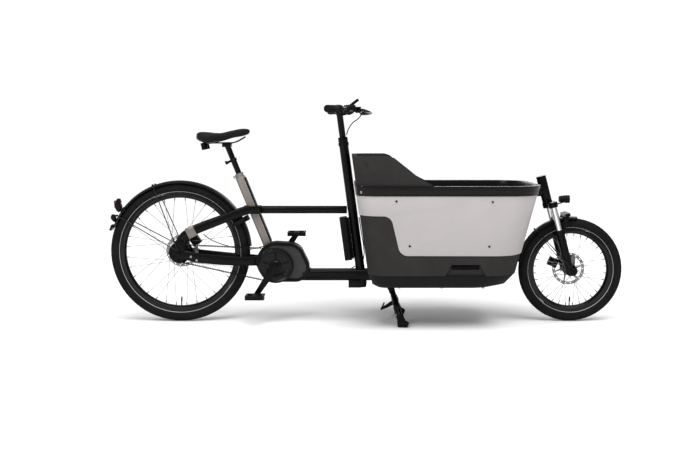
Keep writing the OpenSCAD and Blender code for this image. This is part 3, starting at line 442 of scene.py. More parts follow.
def turned_metal(name, colour, centre, rough=0.28):
    """Metal turned or ground in rings about an axle."""
    s = Shading(name)
    node = s.add("ShaderNodeTexNoise", noise_dimensions="1D")
    node.inputs["Scale"].default_value = 1400
    node.inputs["Detail"].default_value = 2
    s.join(s.from_axle(centre), node.inputs["W"])
    rings = node.outputs["Fac"]
    s.set(Base_Color=s.mixed(s.ranged(rings, 0, 1, 0.3, 0.7), shade(colour, 0.8), shade(colour, 1.15)),
          Roughness=s.ranged(rings, rough - 0.06, rough + 0.12, 0.3, 0.7),
          Metallic=1.0, Normal=s.bumped(rings, 0.08, 0.0003))
    LOOKS[name] = s.material


def tyre_rubber(name, centre, line_r):
    """Rubber with faint moulded rings, dust in the grain and one reflecting line round each wall."""
    s = Shading(name)
    radius = s.from_axle(centre)
    off_line = s.math("ABSOLUTE", s.math("SUBTRACT", radius, line_r))
    line = s.ranged(off_line, 1, 0, 0.0009, 0.0013)
    rings = s.math("SINE", s.math("MULTIPLY", radius, 2600.0))
    rubber = mottled(s, (0.0065, 0.0062, 0.0065), 0.25, 11)
    dusty = s.mixed(s.ranged(s.noise(60, 6), 0, 0.35, 0.45, 0.75), rubber, (0.018, 0.017, 0.017))
    s.set(Base_Color=s.mixed(line, dusty, (0.36, 0.36, 0.35)),
          Roughness=s.ranged(line, 0.72, 0.35), Specular_IOR_Level=0.08,
          Normal=s.bumped(s.noise(900, 3), 0.25, 0.0004, s.bumped(rings, 0.12, 0.0002)))
    LOOKS[name] = s.material


def leather(name, colour):
    """Synthetic saddle cover: small pebbled grain and a soft sheen."""
    s = Shading(name)
    pebbles = s.cells(620, "SMOOTH_F1")
    s.set(Base_Color=s.mixed(s.ranged(pebbles, 0, 1, 0.1, 0.6), shade(colour, 0.7), shade(colour, 1.5)),
          Roughness=s.ranged(s.noise(30, 4), 0.46, 0.62, 0.3, 0.7),
          Sheen_Weight=0.05, Sheen_Roughness=0.5, Specular_IOR_Level=0.12,
          Normal=s.bumped(pebbles, 0.35, 0.0005))
    LOOKS[name] = s.material


def lens(name, colour, rough, prism):
    """Clear or coloured lens with moulded prisms behind its face."""
    s = Shading(name)
    small = s.cells(prism)
    s.set(Base_Color=s.mixed(s.ranged(small, 0, 1, 0, 0.7), shade(colour, 1.3), shade(colour, 0.5)),
          Roughness=s.ranged(s.noise(40), rough, rough + 0.1), Coat_Weight=1.0, Coat_Roughness=0.04,
          Normal=s.bumped(small, 0.5, 0.0008))
    LOOKS[name] = s.material


def make_looks(settings):
    """All of the finishes, by plain names."""
    painted("frame_paint", settings.frame_colour, 0.3, 0.08, gloss=0.07)
    painted("tube_paint", settings.tube_colour, 0.42, 0.15, 0.55, 0.04, gloss=0.4)
    painted("panel_paint", settings.panel_colour, 0.46, 0.1, 0.0, 0.03, 0.0, gloss=0.4, drift=0.025)
    painted("motor_paint", (0.034, 0.034, 0.035), 0.5, 0.1, 0.2, 0.5, 0.004, drift=0.4)
    moulded("box_foam", settings.box_colour, 0.78, 0.6, 420, spread=0.22, gloss=0.06)
    moulded("rim_plastic", (0.0042, 0.004, 0.0039), 0.3, 0.06, 900, 0.12)
    moulded("tray_plastic", (0.0062, 0.006, 0.006), 0.55, 0.4, 700)
    moulded("black_plastic", (0.0042, 0.0042, 0.0045), 0.48, 0.25, 1000)
    moulded("fender_plastic", (0.004, 0.004, 0.0043), 0.32, 0.1, 800, 0.1)
    moulded("gloss_plastic", (0.0045, 0.0045, 0.005), 0.2, 0.03, 600, 0.12)
    moulded("foot_rubber", (0.004, 0.004, 0.004), 0.8, 0.5, 600)
    moulded("grip_rubber", (0.0045, 0.0045, 0.0045), 0.74, 0.5, 1300)
    moulded("hose_rubber", (0.004, 0.004, 0.004), 0.5, 0.2, 1500)
    moulded("belt_rubber", (0.004, 0.004, 0.004), 0.66, 0.4, 1300)
    metal("black_alloy", (0.0075, 0.0075, 0.008), 0.3, (1, 1, 0.1), 300, 0.04, 0.1)
    metal("black_steel", (0.0075, 0.0075, 0.0075), 0.38, (1, 1, 1), 200, 0.08, 0.1)
    metal("rim_alloy", (0.014, 0.014, 0.015), 0.34, (1, 0.2, 1), 300, 0.04, 0.25)
    metal("steel", (0.5, 0.5, 0.51), 0.32, (1, 1, 0.15), 420, 0.05)
    metal("spoke_steel", (0.2, 0.2, 0.205), 0.3, (1, 1, 1), 300, 0.02)
    metal("chrome", (0.86, 0.86, 0.88), 0.12, (1, 1, 0.05), 200, 0.01)
    # Pale metal: the seat tube's edge strip, and the strip on the box rim that is a painted highlight
    metal("pale_trim_and_highlight", (0.62, 0.61, 0.6), 0.42, (0.05, 1, 1), 240, 0.05)
    turned_metal("front_disc_steel", (0.3, 0.292, 0.285), FRONT, 0.36)
    turned_metal("rear_disc_steel", (0.3, 0.292, 0.285), REAR, 0.36)
    tyre_rubber("front_tyre_rubber", FRONT, 0.2125)
    tyre_rubber("rear_tyre_rubber", REAR, 0.3015)
    leather("saddle_cover", (0.0042, 0.0042, 0.0045))
    lens("red_lens", (0.16, 0.004, 0.005), 0.12, 420)
    lens("clear_lens", (0.72, 0.74, 0.76), 0.08, 260)


# ---------------------------------------------------------------- groups
# Millimetres up the seat tube, the strip's length in metres, and the stays' bolts in millimetres
CHANNEL_MIDDLE, CHANNEL_LENGTH = 291, 0.338
STAY_BOLTS = ((62, 331), (90, 313))
STAY_SIDE = 78


def build_frame():
    """Painted tubes, battery and hoses, the seat tube's front strip, bolts and the beam's strip."""
    for node in ("top_tube", "upper_stays", "lower_stays", "motor_cradle", "main_beam",
                 "steering_column", "nose_frame"):
        rounded_copy(node, LOOKS["frame_paint"], 0.0012)
    for node in ("seat_tube", "belt_sleeve"):
        rounded_copy(node, LOOKS["tube_paint"], 0.001)
    rounded_copy("battery", LOOKS["black_plastic"], 0.003, 3)
    rounded_copy("frame_hoses", LOOKS["hose_rubber"], 0)
    for name, look, ahead, thick, wide in (("seat_tube_channel", "frame_paint", 20.5, 9, 45.4),
                                           ("seat_tube_channel_edge", "pale_trim_and_highlight", 15.2, 1.6, 45.8)):
        bm = bmesh.new()
        add_box(bm, seat_line(CHANNEL_MIDDLE, ahead), (wide / 1000, thick / 1000, CHANNEL_LENGTH),
                (SIDEWAYS, SEAT_AHEAD, SEAT_AXIS), 0.0004, 1)
        finish_piece(name, bm, LOOKS[look], "frame")
    bm = bmesh.new()
    for side in (-1, 1):
        add_bolt(bm, seat_line(479, -25) + SIDEWAYS * side * 0.0088, SIDEWAYS * side, 0.0042)
        for x, z in STAY_BOLTS:
            add_bolt(bm, at(x, side * STAY_SIDE, z), SIDEWAYS * side, 0.0052)
    finish_piece("frame_bolts", bm, LOOKS["steel"], "frame")
    bm = bmesh.new()
    guard = [at(x, -41.5, z) for x, z in ((610, 238), (700, 236), (790, 236), (880, 236))]
    add_sweep(bm, guard, (0.0016, 0.02), 10, SIDEWAYS, 0.6)
    finish_piece("beam_guard_strip", bm, LOOKS["black_plastic"], "frame")


# Places in millimetres, from the rear axle and the middle plane
STEP_X = 1389
TRAY_BOLTS = (1080, 1281, 1478)
TRAY_BOLT_SIDE = 236
TAIL_BOLTS = ((896, 662), (900, 686))


def build_box():
    """Foam shell and backrest, painted panels, rim with a pale strip along its top edge as a painted
    highlight, tray, dark step pads as painted shade in the step recesses, and bolts.
    """
    rounded_copy("cargo_shell", LOOKS["box_foam"], 0.004, 3)
    rounded_copy("backrest_shell", LOOKS["box_foam"], 0.006, 3)
    rounded_copy("side_panels", LOOKS["panel_paint"], 0.0011, 2)
    rounded_copy("box_rim", LOOKS["rim_plastic"], 0.006, 3)
    rounded_copy("base_tray", LOOKS["tray_plastic"], 0.001)
    rounded_copy("panel_screws", LOOKS["black_steel"], 0.0008)
    # A pale metal strip along the rim's top edge, from 1235 mm forward: a painted highlight, where the
    # rounded top edge catches the light
    bm = bmesh.new()
    add_sweep(bm, box_outline(689.2, 4.6, 1235), (0.0035, 0.0026), 8, UP)
    finish_piece("rim_painted_highlight", bm, LOOKS["pale_trim_and_highlight"], "frame")
    bm = bmesh.new()
    add_sweep(bm, box_outline(664, 6.2, 1000), (0.0028, 0.0012), 8, UP)
    add_sweep(bm, box_outline(650, 6.4, 1000), (0.003, 0.0016), 8, UP)
    finish_piece("rim_beads", bm, LOOKS["rim_plastic"], "frame")
    # Dark ribbed rubber pads in the upper part of each step recess: painted shade, standing for the dark
    # top of the recess
    bm = bmesh.new()
    for side in (-1, 1):
        add_box(bm, at(STEP_X, side * 275.2, 305), (0.13, 0.003, 0.022), None, 0.001, 1)
        for row in range(4):
            add_box(bm, at(STEP_X, side * 277, 298 + 5 * row), (0.118 - 0.004 * row, 0.0022, 0.0022),
                    None, 0.0006, 1)
    finish_piece("step_shade_pads", bm, LOOKS["foot_rubber"], "frame")
    bm = bmesh.new()
    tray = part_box("base_tray")[0][2]
    for x in TRAY_BOLTS:
        for side in (-1, 1):
            spot = at(x, side * TRAY_BOLT_SIDE, 0)
            spot.z = tray
            add_bolt(bm, spot + UP * 0.001, -UP, 0.005, 0.006)
    for x, z in TAIL_BOLTS:
        for side in (-1, 1):
            add_bolt(bm, at(x, side * (box_half(z) - 22), z), Vector((-0.75, side * 0.66, 0)), 0.0045)
    finish_piece("box_bolts", bm, LOOKS["steel"], "frame")


# Wheel sizes in metres, and the tread's angles in degrees
REAR_RADIUS, FRONT_RADIUS = 0.347, 0.258
TYRE_ROUND = 0.0262
TREAD_TO_ROUND = 0.0275
TREAD_ROWS = (-44, -22, 0, 22, 44)
TREAD_LEAN = 16
SPOKES = 32
RIM_DEPTH = 0.0275
REAR_CAP, FRONT_CAP = 0.0825, 0.0775
TREAD_TO_VALVE = 0.077


def tyre_casing(end, centre, middle):
    """The tyre's hollow casing, spun from its section; middle is the section's radius."""
    outer = [(middle + TYRE_ROUND * math.cos(a), TYRE_ROUND * math.sin(a))
             for a in (math.radians(-146 + 292 * i / 36) for i in range(37))]
    wall = TYRE_ROUND - 0.003
    inner = [(middle + wall * math.cos(a), wall * math.sin(a))
             for a in (math.radians(140 - 280 * i / 20) for i in range(21))]
    bm = bmesh.new()
    add_lathe(bm, outer + inner, centre, steps=144, closed=True)
    finish_piece(end + "_tyre_casing", bm, LOOKS[end + "_tyre_rubber"], end + "_wheel", 50,
                 (end + "_tyre",))


def tyre_tread(end, centre, radius, middle, count):
    """Rows of blocks across the tread, the outer rows leaning."""
    length = 2 * math.pi * radius / count * 0.78
    foot = TYRE_ROUND - 0.0001
    bm = bmesh.new()
    for row, tilt in enumerate(TREAD_ROWS):
        across, out = math.sin(math.radians(tilt)), math.cos(math.radians(tilt))
        lean = math.radians(TREAD_LEAN * (1 if tilt < 0 else -1 if tilt > 0 else 0))
        for i in range(count):
            turn = 2 * math.pi * (i + 0.5 * (row % 2)) / count
            radial = Vector((math.cos(turn), 0, math.sin(turn)))
            along = Vector((-math.sin(turn), 0, math.cos(turn)))
            side = SIDEWAYS * out - radial * across
            spot = centre + radial * (middle + foot * out) + SIDEWAYS * foot * across
            bmesh.ops.create_cube(bm, size=1, matrix=slanted(
                spot, along * math.cos(lean) + side * math.sin(lean),
                side * math.cos(lean) - along * math.sin(lean), radial * out + SIDEWAYS * across,
                (length, 0.0078, 0.0018)))
    finish_piece(end + "_tread", bm, LOOKS[end + "_tyre_rubber"], end + "_wheel")


def wheel_fittings(end, centre, radius, cap_side, cap_body):
    """Spoke nipples, axle caps and the valve."""
    bm = bmesh.new()
    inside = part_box(end + "_rim")[1][2] - centre.z - RIM_DEPTH
    for i in range(SPOKES):
        turn = 2 * math.pi * (i + 0.5) / SPOKES
        radial = Vector((math.cos(turn), 0, math.sin(turn)))
        add_rod(bm, centre + radial * (inside + 0.003), centre + radial * (inside - 0.011),
                0.0026, 0.0019, 8)
    finish_piece(end + "_nipples", bm, LOOKS["spoke_steel"], end + "_wheel")
    bm = bmesh.new()
    for side in (-1, 1):
        add_lathe(bm, [(0, -0.004), (0.0125, -0.004), (0.0125, 0.0015), (0.0105, 0.0035),
                       (0.0052, 0.0035), (0.0046, 0.0005), (0, 0.0005)],
                  centre + SIDEWAYS * side * cap_side, SIDEWAYS * side, 32)
    finish_piece(end + "_axle_caps", bm, LOOKS["black_steel"], cap_body)
    bm = bmesh.new()
    low = centre - UP * (radius - TREAD_TO_VALVE)
    tilt = Vector((0.045, 0, 1)).normalized()
    add_rod(bm, low - tilt * 0.003, low + tilt * 0.032, 0.003, sides=14)
    add_rod(bm, low + tilt * 0.022, low + tilt * 0.044, 0.0042, 0.0036, 14, 0.0006)
    finish_piece(end + "_valve", bm, LOOKS["black_plastic"], end + "_wheel")


def build_wheels(settings):
    """Tyres with tread, rims, spokes, hubs, discs and their small fittings."""
    for end, centre, radius, count, cap_side, cap_body in (
            ("rear", REAR, REAR_RADIUS, settings.rear_tread, REAR_CAP, "frame"),
            ("front", FRONT, FRONT_RADIUS, settings.front_tread, FRONT_CAP, "lowers")):
        middle = radius - TREAD_TO_ROUND
        tyre_casing(end, centre, middle)
        tyre_tread(end, centre, radius, middle, count)
        rounded_copy(end + "_rim", LOOKS["rim_alloy"], 0.0006)
        rounded_copy(end + "_spokes", LOOKS["spoke_steel"], 0)
        rounded_copy(end + "_hub", LOOKS["black_alloy"], 0.0012)
        rounded_copy(end + "_disc", LOOKS[end + "_disc_steel"], 0.0003, 1)
        wheel_fittings(end, centre, radius, cap_side, cap_body)


# Belt and guard sizes in metres; the guard's section is (radius, distance along the axle)
BELT_PITCH = 0.011
SMALL_TEETH, LARGE_TEETH = 24, 48
BELT_SIDE = 0.053
GUARD_SECTION = (
    (0.0125, -0.0605), (0.0835, -0.0605), (0.0845, -0.0625), (0.0825, -0.0665), (0.0775, -0.068),
    (0.072, -0.0655), (0.062, -0.0665), (0.048, -0.0655), (0.04, -0.063), (0.03, -0.064),
    (0.026, -0.072), (0.022, -0.0745), (0.0125, -0.0745))
GUARD_WEBS = 5


def belt_teeth():
    """Teeth on the belt's two free runs, which touch both pulleys' pitch circles."""
    small, large = (teeth * BELT_PITCH / (2 * math.pi) for teeth in (SMALL_TEETH, LARGE_TEETH))
    reach = CRANK - REAR
    lean = math.asin((large - small) / reach.length)
    along = reach.normalized()
    over = Vector((-along.z, 0, along.x))
    count = int((reach.length * math.cos(lean) - 0.05) / BELT_PITCH)
    bm = bmesh.new()
    for side in (1, -1):
        out = over * math.cos(lean) * side - along * math.sin(lean)
        run = along * math.cos(lean) + over * math.sin(lean) * side
        start = REAR + out * small
        for i in range(count):
            spot = start + run * (0.025 + BELT_PITCH * i) - out * 0.0023 - SIDEWAYS * BELT_SIDE
            add_box(bm, spot, (0.0062, 0.0116, 0.0046), (run, SIDEWAYS, out), 0)
    finish_piece("belt_teeth", bm, LOOKS["belt_rubber"], "frame")


def pedal_fittings(side):
    """One pedal's reflectors and grip pins."""
    low, high = (Vector(corner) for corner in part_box("pedal_" + side))
    middle, size = (low + high) / 2, high - low
    bm = bmesh.new()
    for end in (-1, 1):
        add_box(bm, middle + Vector((end * (size.x / 2 - 0.0006), 0, 0)),
                (0.003, size.y * 0.52, size.z * 0.5), None, 0.0008, 1)
    finish_piece("pedal_reflectors_" + side, bm, LOOKS["clear_lens"], "pedal_" + side)
    bm = bmesh.new()
    for row in (-1, 1):
        for col in range(-3, 4):
            for face in (-1, 1):
                foot = middle + Vector((row * size.x * 0.42, col * size.y * 0.12,
                                        face * (size.z / 2 - 0.0004)))
                add_rod(bm, foot, foot + UP * face * 0.0022, 0.0018, 0.0013, 8)
    finish_piece("pedal_pins_" + side, bm, LOOKS["steel"], "pedal_" + side)


def belt_guard():
    """The dished guard outside the front pulley, its webs and bolts."""
    bm = bmesh.new()
    add_lathe(bm, GUARD_SECTION, CRANK, steps=96, closed=True)
    finish_piece("belt_guard", bm, LOOKS["gloss_plastic"], "crank", 30)
    bm = bmesh.new()
    for i in range(GUARD_WEBS):
        turn = 2 * math.pi * (i + 0.25) / GUARD_WEBS
        out = Vector((math.cos(turn), 0, math.sin(turn)))
        add_box(bm, CRANK + out * 0.0545 - SIDEWAYS * 0.0662, (0.026, 0.0026, 0.009),
                (out, SIDEWAYS, out.cross(SIDEWAYS)), 0.001)
        add_bolt(bm, CRANK + out * 0.0328 - SIDEWAYS * 0.063, -SIDEWAYS, 0.0034, 0.003)
    add_bolt(bm, CRANK - SIDEWAYS * 0.0925, -SIDEWAYS, 0.0075, 0.003)
    finish_piece("guard_webs", bm, LOOKS["black_steel"], "crank")


def build_drive():
    """Motor, belt, pulleys, guard, cranks and pedals."""
    rounded_copy("motor_housing", LOOKS["motor_paint"], 0.005, 3)
    rounded_copy("motor_cover", LOOKS["gloss_plastic"], 0.001)
    rounded_copy("rear_axle", LOOKS["black_steel"], 0.0008)
    rounded_copy("drive_belt", LOOKS["belt_rubber"], 0)
    belt_teeth()
    rounded_copy("rear_pulley", LOOKS["black_steel"], 0.0004, 1)
    rounded_copy("front_pulley", LOOKS["black_plastic"], 0.0004, 1)
    rounded_copy("cranks", LOOKS["black_alloy"], 0.003, 3)
    for side in ("right", "left"):
        rounded_copy("pedal_" + side, LOOKS["black_plastic"], 0.002)
        pedal_fittings(side)
    belt_guard()


def build_rear():
    """Rear fender, lamp, reflector, caliper and frame lock."""
    rounded_copy("rear_fender", LOOKS["fender_plastic"], 0.0006)
    bm = bmesh.new()
    lamp = [at(x, 0, z) for x, z in ((-282, 556), (-300, 562), (-306, 580), (-304, 612))]
    reflector = [at(x, 0, z) for x, z in ((-312, 505), (-326, 508), (-331, 518), (-329, 532))]
    add_sweep(bm, curved(lamp, 5), [(0.03, 0.022)] * 4 + [(0.042, 0.034)] * 7
              + [(0.042, 0.026)] * 3 + [(0.038, 0.016)] * 2, 24, SIDEWAYS, 0.55)
    add_sweep(bm, curved(reflector, 4), [(0.022, 0.014)] * 3 + [(0.036, 0.022)] * 10, 20, SIDEWAYS, 0.55)
    add_rod(bm, at(-276, -16, 566), at(-276, 16, 566), 0.006, sides=16, edge=0.001)
    finish_piece("tail_light_housing", bm, LOOKS["black_plastic"], "frame", 40, ("tail_light",))
    bm = bmesh.new()
    leaning = (Vector((1, 0, 0.06)).normalized(), SIDEWAYS, Vector((-0.06, 0, 1)).normalized())
    add_box(bm, at(-322.6, 0, 585), (0.003, 0.034, 0.036), leaning, 0.0012)
    add_box(bm, at(-341.6, 0, 519), (0.0026, 0.03, 0.018), None, 0.001)
    finish_piece("rear_lenses", bm, LOOKS["red_lens"], "frame")
    rounded_copy("rear_caliper", LOOKS["black_alloy"], 0.002)
    rounded_copy("ring_lock", LOOKS["black_plastic"], 0.003, 3)


def build_fork():
    """Sprung fork, front fender, caliper and headlamp."""
    rounded_copy("fork_crown", LOOKS["black_alloy"], 0.003, 3)
    rounded_copy("stanchions", LOOKS["chrome"], 0)
    rounded_copy("fork_lowers", LOOKS["frame_paint"], 0.002, 2)
    rounded_copy("front_fender", LOOKS["fender_plastic"], 0.0006)
    rounded_copy("front_caliper", LOOKS["black_alloy"], 0.002)
    rounded_copy("headlight", LOOKS["black_plastic"], 0.002)
    lamp = at_fork(60, 356)
    out = Vector((1, 0, 0))
    bm = bmesh.new()
    add_lathe(bm, [(0, 0.0503), (0.016, 0.0503), (0.0165, 0.0515), (0.012, 0.0525), (0, 0.053)],
              lamp, out, 40)
    finish_piece("headlight_lens", bm, LOOKS["clear_lens"], "fork")
    bm = bmesh.new()
    for x in (0.012, 0.02, 0.028, 0.036):
        r = 0.015 + 0.1 * x
        add_lathe(bm, [(r - 0.001, x - 0.002), (r + 0.0016, x - 0.0014),
                       (r + 0.0016, x + 0.0014), (r - 0.001, x + 0.002)], lamp, out, 40, True)
    finish_piece("headlight_fins", bm, LOOKS["black_plastic"], "fork")


# Millimetres from the middle plane to a control pod
POD_SIDE = 150


def build_steering():
    """Shaft, stem with its clamp, handlebar, grips, levers, control pods and hoses."""
    rounded_copy("steering_shaft", LOOKS["black_alloy"], 0.001)
    rounded_copy("stem", LOOKS["black_alloy"], 0.0015)
    rounded_copy("handlebar", LOOKS["black_alloy"], 0)
    rounded_copy("grips", LOOKS["grip_rubber"], 0.002)
    rounded_copy("gear_twist", LOOKS["grip_rubber"], 0.001)
    rounded_copy("bar_controls", LOOKS["black_plastic"], 0.0015)
    rounded_copy("brake_lever_right", LOOKS["black_alloy"], 0.001)
    rounded_copy("brake_lever_left", LOOKS["black_alloy"], 0.001)
    rounded_copy("bar_hoses", LOOKS["hose_rubber"], 0)
    centre = at(BAR_X, 0, BAR_Z)
    bm = bmesh.new()
    add_rod(bm, centre - SIDEWAYS * 0.023, centre + SIDEWAYS * 0.023, 0.0225, sides=40, edge=0.002)
    add_sweep(bm, [centre + Vector((-0.052, 0, -0.012)), centre + Vector((-0.03, 0, -0.007)), centre],
              [(0.036, 0.04), (0.034, 0.038), (0.036, 0.036)], 24, SIDEWAYS, 0.7)
    for side in (-1, 1):
        for up in (-0.013, 0.013):
            add_bolt(bm, centre + Vector((0.019, side * 0.013, up)), Vector((1, 0, up * 20)), 0.003)
    finish_piece("stem_clamp", bm, LOOKS["black_alloy"], "bars")
    bm = bmesh.new()
    for side in (-1, 1):
        pod = at(BAR_X - 18, side * POD_SIDE, BAR_Z)
        add_box(bm, pod + Vector((0.006, 0, 0.002)), (0.034, 0.036, 0.034), None, 0.008, 4)
        add_box(bm, pod + Vector((0.026, side * -0.012, 0.013)), (0.05, 0.03, 0.022), None, 0.006, 3)
        for k in (-1, 1):
            button = pod + Vector((0.0, k * 0.008, 0.018))
            add_rod(bm, button, button + UP * 0.0045, 0.005, sides=16, edge=0.001)
    finish_piece("bar_pods", bm, LOOKS["black_plastic"], "bars")


# Each row of the saddle from its tail, in millimetres: place, half width, top and underside;
# and how far up the seat tube's line the clip sits
SADDLE_ROWS = (
    (92, 44, 937, 907), (108, 74, 943, 897), (150, 79, 941, 883), (178, 69, 938, 889),
    (215, 47, 938, 898), (262, 29.5, 949, 912), (310, 23.5, 958, 921), (340, 14.5, 957, 931),
    (349, 5.5, 949.5, 939))
CLIP_UP = 561


def build_seat():
    """Seatpost, rails, the padded saddle and the clip under it."""
    rounded_copy("seatpost", LOOKS["black_alloy"], 0.001)
    rounded_copy("saddle_rails", LOOKS["black_steel"], 0)
    rows = curved([Vector(row) for row in SADDLE_ROWS], 5)
    spots = [at(x, 0, (top + low) / 2) for x, _, top, low in rows]
    sizes = [(wide / 500, (top - low) / 1000) for _, wide, top, low in rows]
    bm = bmesh.new()
    add_sweep(bm, spots, sizes, 40, SIDEWAYS, 0.72)
    cushion = finish_piece("saddle_pad", bm, LOOKS["saddle_cover"], "seat", 60, ("saddle",))
    bm = bmesh.new()
    for side in (-1, 1):
        for out, rise, thick in ((0.945, 0.24, 0.0022), (0.965, -0.2, 0.0016)):
            line = [at(x, side * wide * out, (top + low) / 2 + (top - low) * rise)
                    for x, wide, top, low in rows[4:-3]]
            add_sweep(bm, line, (thick, thick), 6, UP)
    finish_piece("saddle_seams", bm, LOOKS["hose_rubber"], "seat")
    bm = bmesh.new()
    clip = seat_line(CLIP_UP)
    add_lathe(bm, [(0.0145, -0.006), (0.0172, -0.006), (0.0178, 0), (0.0172, 0.006), (0.0145, 0.006)],
              clip, SEAT_AXIS, 36, True)
    add_rod(bm, seat_line(CLIP_UP, -14), seat_line(CLIP_UP - 3, -31), 0.006, 0.0045, 16, 0.001)
    finish_piece("seatpost_clip", bm, LOOKS["black_plastic"], "seat")
    bm = bmesh.new()
    loop = [seat_line(CLIP_UP + up, ahead)
            for ahead, up in ((16, -4), (23, -6), (30, -3), (31, 6), (24, 9), (16, 5))]
    add_sweep(bm, curved(loop, 4), (0.0024, 0.0024), 8)
    finish_piece("seatpost_clip_loop", bm, LOOKS["steel"], "seat")


def stand_leg(side):
    """The top and the sole of one leg of the stand."""
    lows, highs = (Vector(corner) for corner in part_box("kickstand_feet"))
    sole = Vector(((lows.x + highs.x) / 2 - 0.002, side * (highs.y - 0.026), 0.012))
    return at(1051, side * 70, 162), sole


def build_stand():
    """Centre stand, its rubber boots and its pivot bosses."""
    rounded_copy("kickstand", LOOKS["black_steel"], 0.002)
    bm = bmesh.new()
    for side in (-1, 1):
        head, sole = stand_leg(side)
        up = (head - sole).normalized()
        ankle = [sole + up * rise for rise in (0.05, 0.03, 0.012, -0.006)]
        add_sweep(bm, curved(ankle, 3), [(0.037, 0.037)] * 4 + [(0.04, 0.041)] * 3
                  + [(0.043, 0.046)] * 3, 28)
        toe = [sole + Vector((x / 1000, 0, z / 1000))
               for x, z in ((-24, 4), (-8, 6), (10, 5), (24, 1), (29, -1))]
        add_sweep(bm, curved(toe, 2), [(0.026, 0.022)] + [(0.042, 0.034)] * 5
                  + [(0.036, 0.026)] * 2 + [(0.018, 0.012)], 24)
    everything = list(bm.verts) + list(bm.edges) + list(bm.faces)
    cut = bmesh.ops.bisect_plane(bm, geom=everything, dist=1e-6, plane_co=(0, 0, 0.0002),
                                 plane_no=(0, 0, -1), clear_outer=True)
    rim = [e for e in cut["geom_cut"] if isinstance(e, bmesh.types.BMEdge)]
    bmesh.ops.holes_fill(bm, edges=rim)
    finish_piece("stand_boots", bm, LOOKS["foot_rubber"], "stand", 50, ("kickstand_feet",))
    bm = bmesh.new()
    for side in (-1, 1):
        head, sole = stand_leg(side)
        middle = head.lerp(sole, 0.5)
        add_rod(bm, middle - SIDEWAYS * 0.019, middle + SIDEWAYS * 0.019, 0.0185, sides=32, edge=0.002)
        add_rod(bm, middle.lerp(head, 0.28), middle.lerp(sole, 0.24), 0.0165, sides=24, edge=0.002)
        add_rod(bm, head - SIDEWAYS * 0.008, head + SIDEWAYS * 0.014 * side, 0.016, sides=28,
                edge=0.0015)
        add_bolt(bm, middle + SIDEWAYS * side * 0.019, SIDEWAYS * side, 0.0055)
    finish_piece("stand_bosses", bm, LOOKS["black_steel"], "stand")


# The floor reaches this many metres, far past every view
FLOOR_RADIUS = 60
BACKDROP_STRENGTH = 1.05


def build_stage(settings):
    """Pale floor, soft lights, a white backdrop that only the camera sees, and the camera."""
    s = Shading("floor_paper")
    s.set(Base_Color=s.mixed(s.noise(0.7, 4), (0.87, 0.87, 0.87), (0.9, 0.9, 0.9)),
          Roughness=s.ranged(s.noise(4), 0.8, 0.95), Specular_IOR_Level=0.1)
    bm = bmesh.new()
    bmesh.ops.create_circle(bm, cap_ends=True, segments=96, radius=FLOOR_RADIUS)
    mesh = bpy.data.meshes.new("studio_floor")
    bm.to_mesh(mesh)
    bm.free()
    mesh.materials.append(s.material)
    floor = bpy.data.objects.new("studio_floor", mesh)
    bpy.context.scene.collection.objects.link(floor)
    bpy.context.scene.view_settings.view_transform = "Standard"
    world = bpy.data.worlds.new("studio_world")
    bpy.context.scene.world = world
    world.use_nodes = True
    tree = world.node_tree
    sky = tree.nodes["Background"]
    sky.inputs["Color"].default_value = (1, 1, 1, 1)
    sky.inputs["Strength"].default_value = settings.sky_strength
    backdrop = tree.nodes.new("ShaderNodeBackground")
    backdrop.inputs["Color"].default_value = (1, 1, 1, 1)
    backdrop.inputs["Strength"].default_value = BACKDROP_STRENGTH
    seen = tree.nodes.new("ShaderNodeLightPath")
    either = tree.nodes.new("ShaderNodeMixShader")
    tree.links.new(seen.outputs["Is Camera Ray"], either.inputs[0])
    tree.links.new(sky.outputs[0], either.inputs[1])
    tree.links.new(backdrop.outputs[0], either.inputs[2])
    tree.links.new(either.outputs[0], tree.nodes["World Output"].inputs[0])
    for name, kind, spot, target, size, power in (
            ("daylight", "SUN", (0.5, -1.6, 4.0), (0, 0, 0), math.radians(50),
             settings.overhead_power),
            ("front_softbox", "AREA", (-2.2, -3.4, 3.0), (0, 0, 0.5), 1.6, settings.front_power),
            ("back_softbox", "AREA", (1.5, 3.6, 2.6), (0, 0, 0.5), 2.0, settings.front_power * 0.7)):
        light = bpy.data.lights.new(name, kind)
        if kind == "SUN":
            light.angle = size
        else:
            light.shape = "SQUARE"
            light.size = size
        light.energy = power
        lamp = bpy.data.objects.new(name, light)
        lamp.location = spot
        lamp.rotation_euler = (Vector(target) - Vector(spot)).to_track_quat("-Z", "Y").to_euler()
        bpy.context.scene.collection.objects.link(lamp)
    data = bpy.data.cameras.new("camera")
    data.sensor_width = 36
    data.lens = settings.lens
    data.clip_end = 200
    camera = bpy.data.objects.new("camera", data)
    stand = at(settings.camera_ahead, -settings.camera_distance, settings.camera_height)
    aim = at(settings.camera_ahead, 0, settings.aim_height)
    camera.location = stand
    camera.rotation_euler = (aim - stand).to_track_quat("-Z", "Y").to_euler()
    bpy.context.scene.collection.objects.link(camera)
    bpy.context.scene.camera = camera


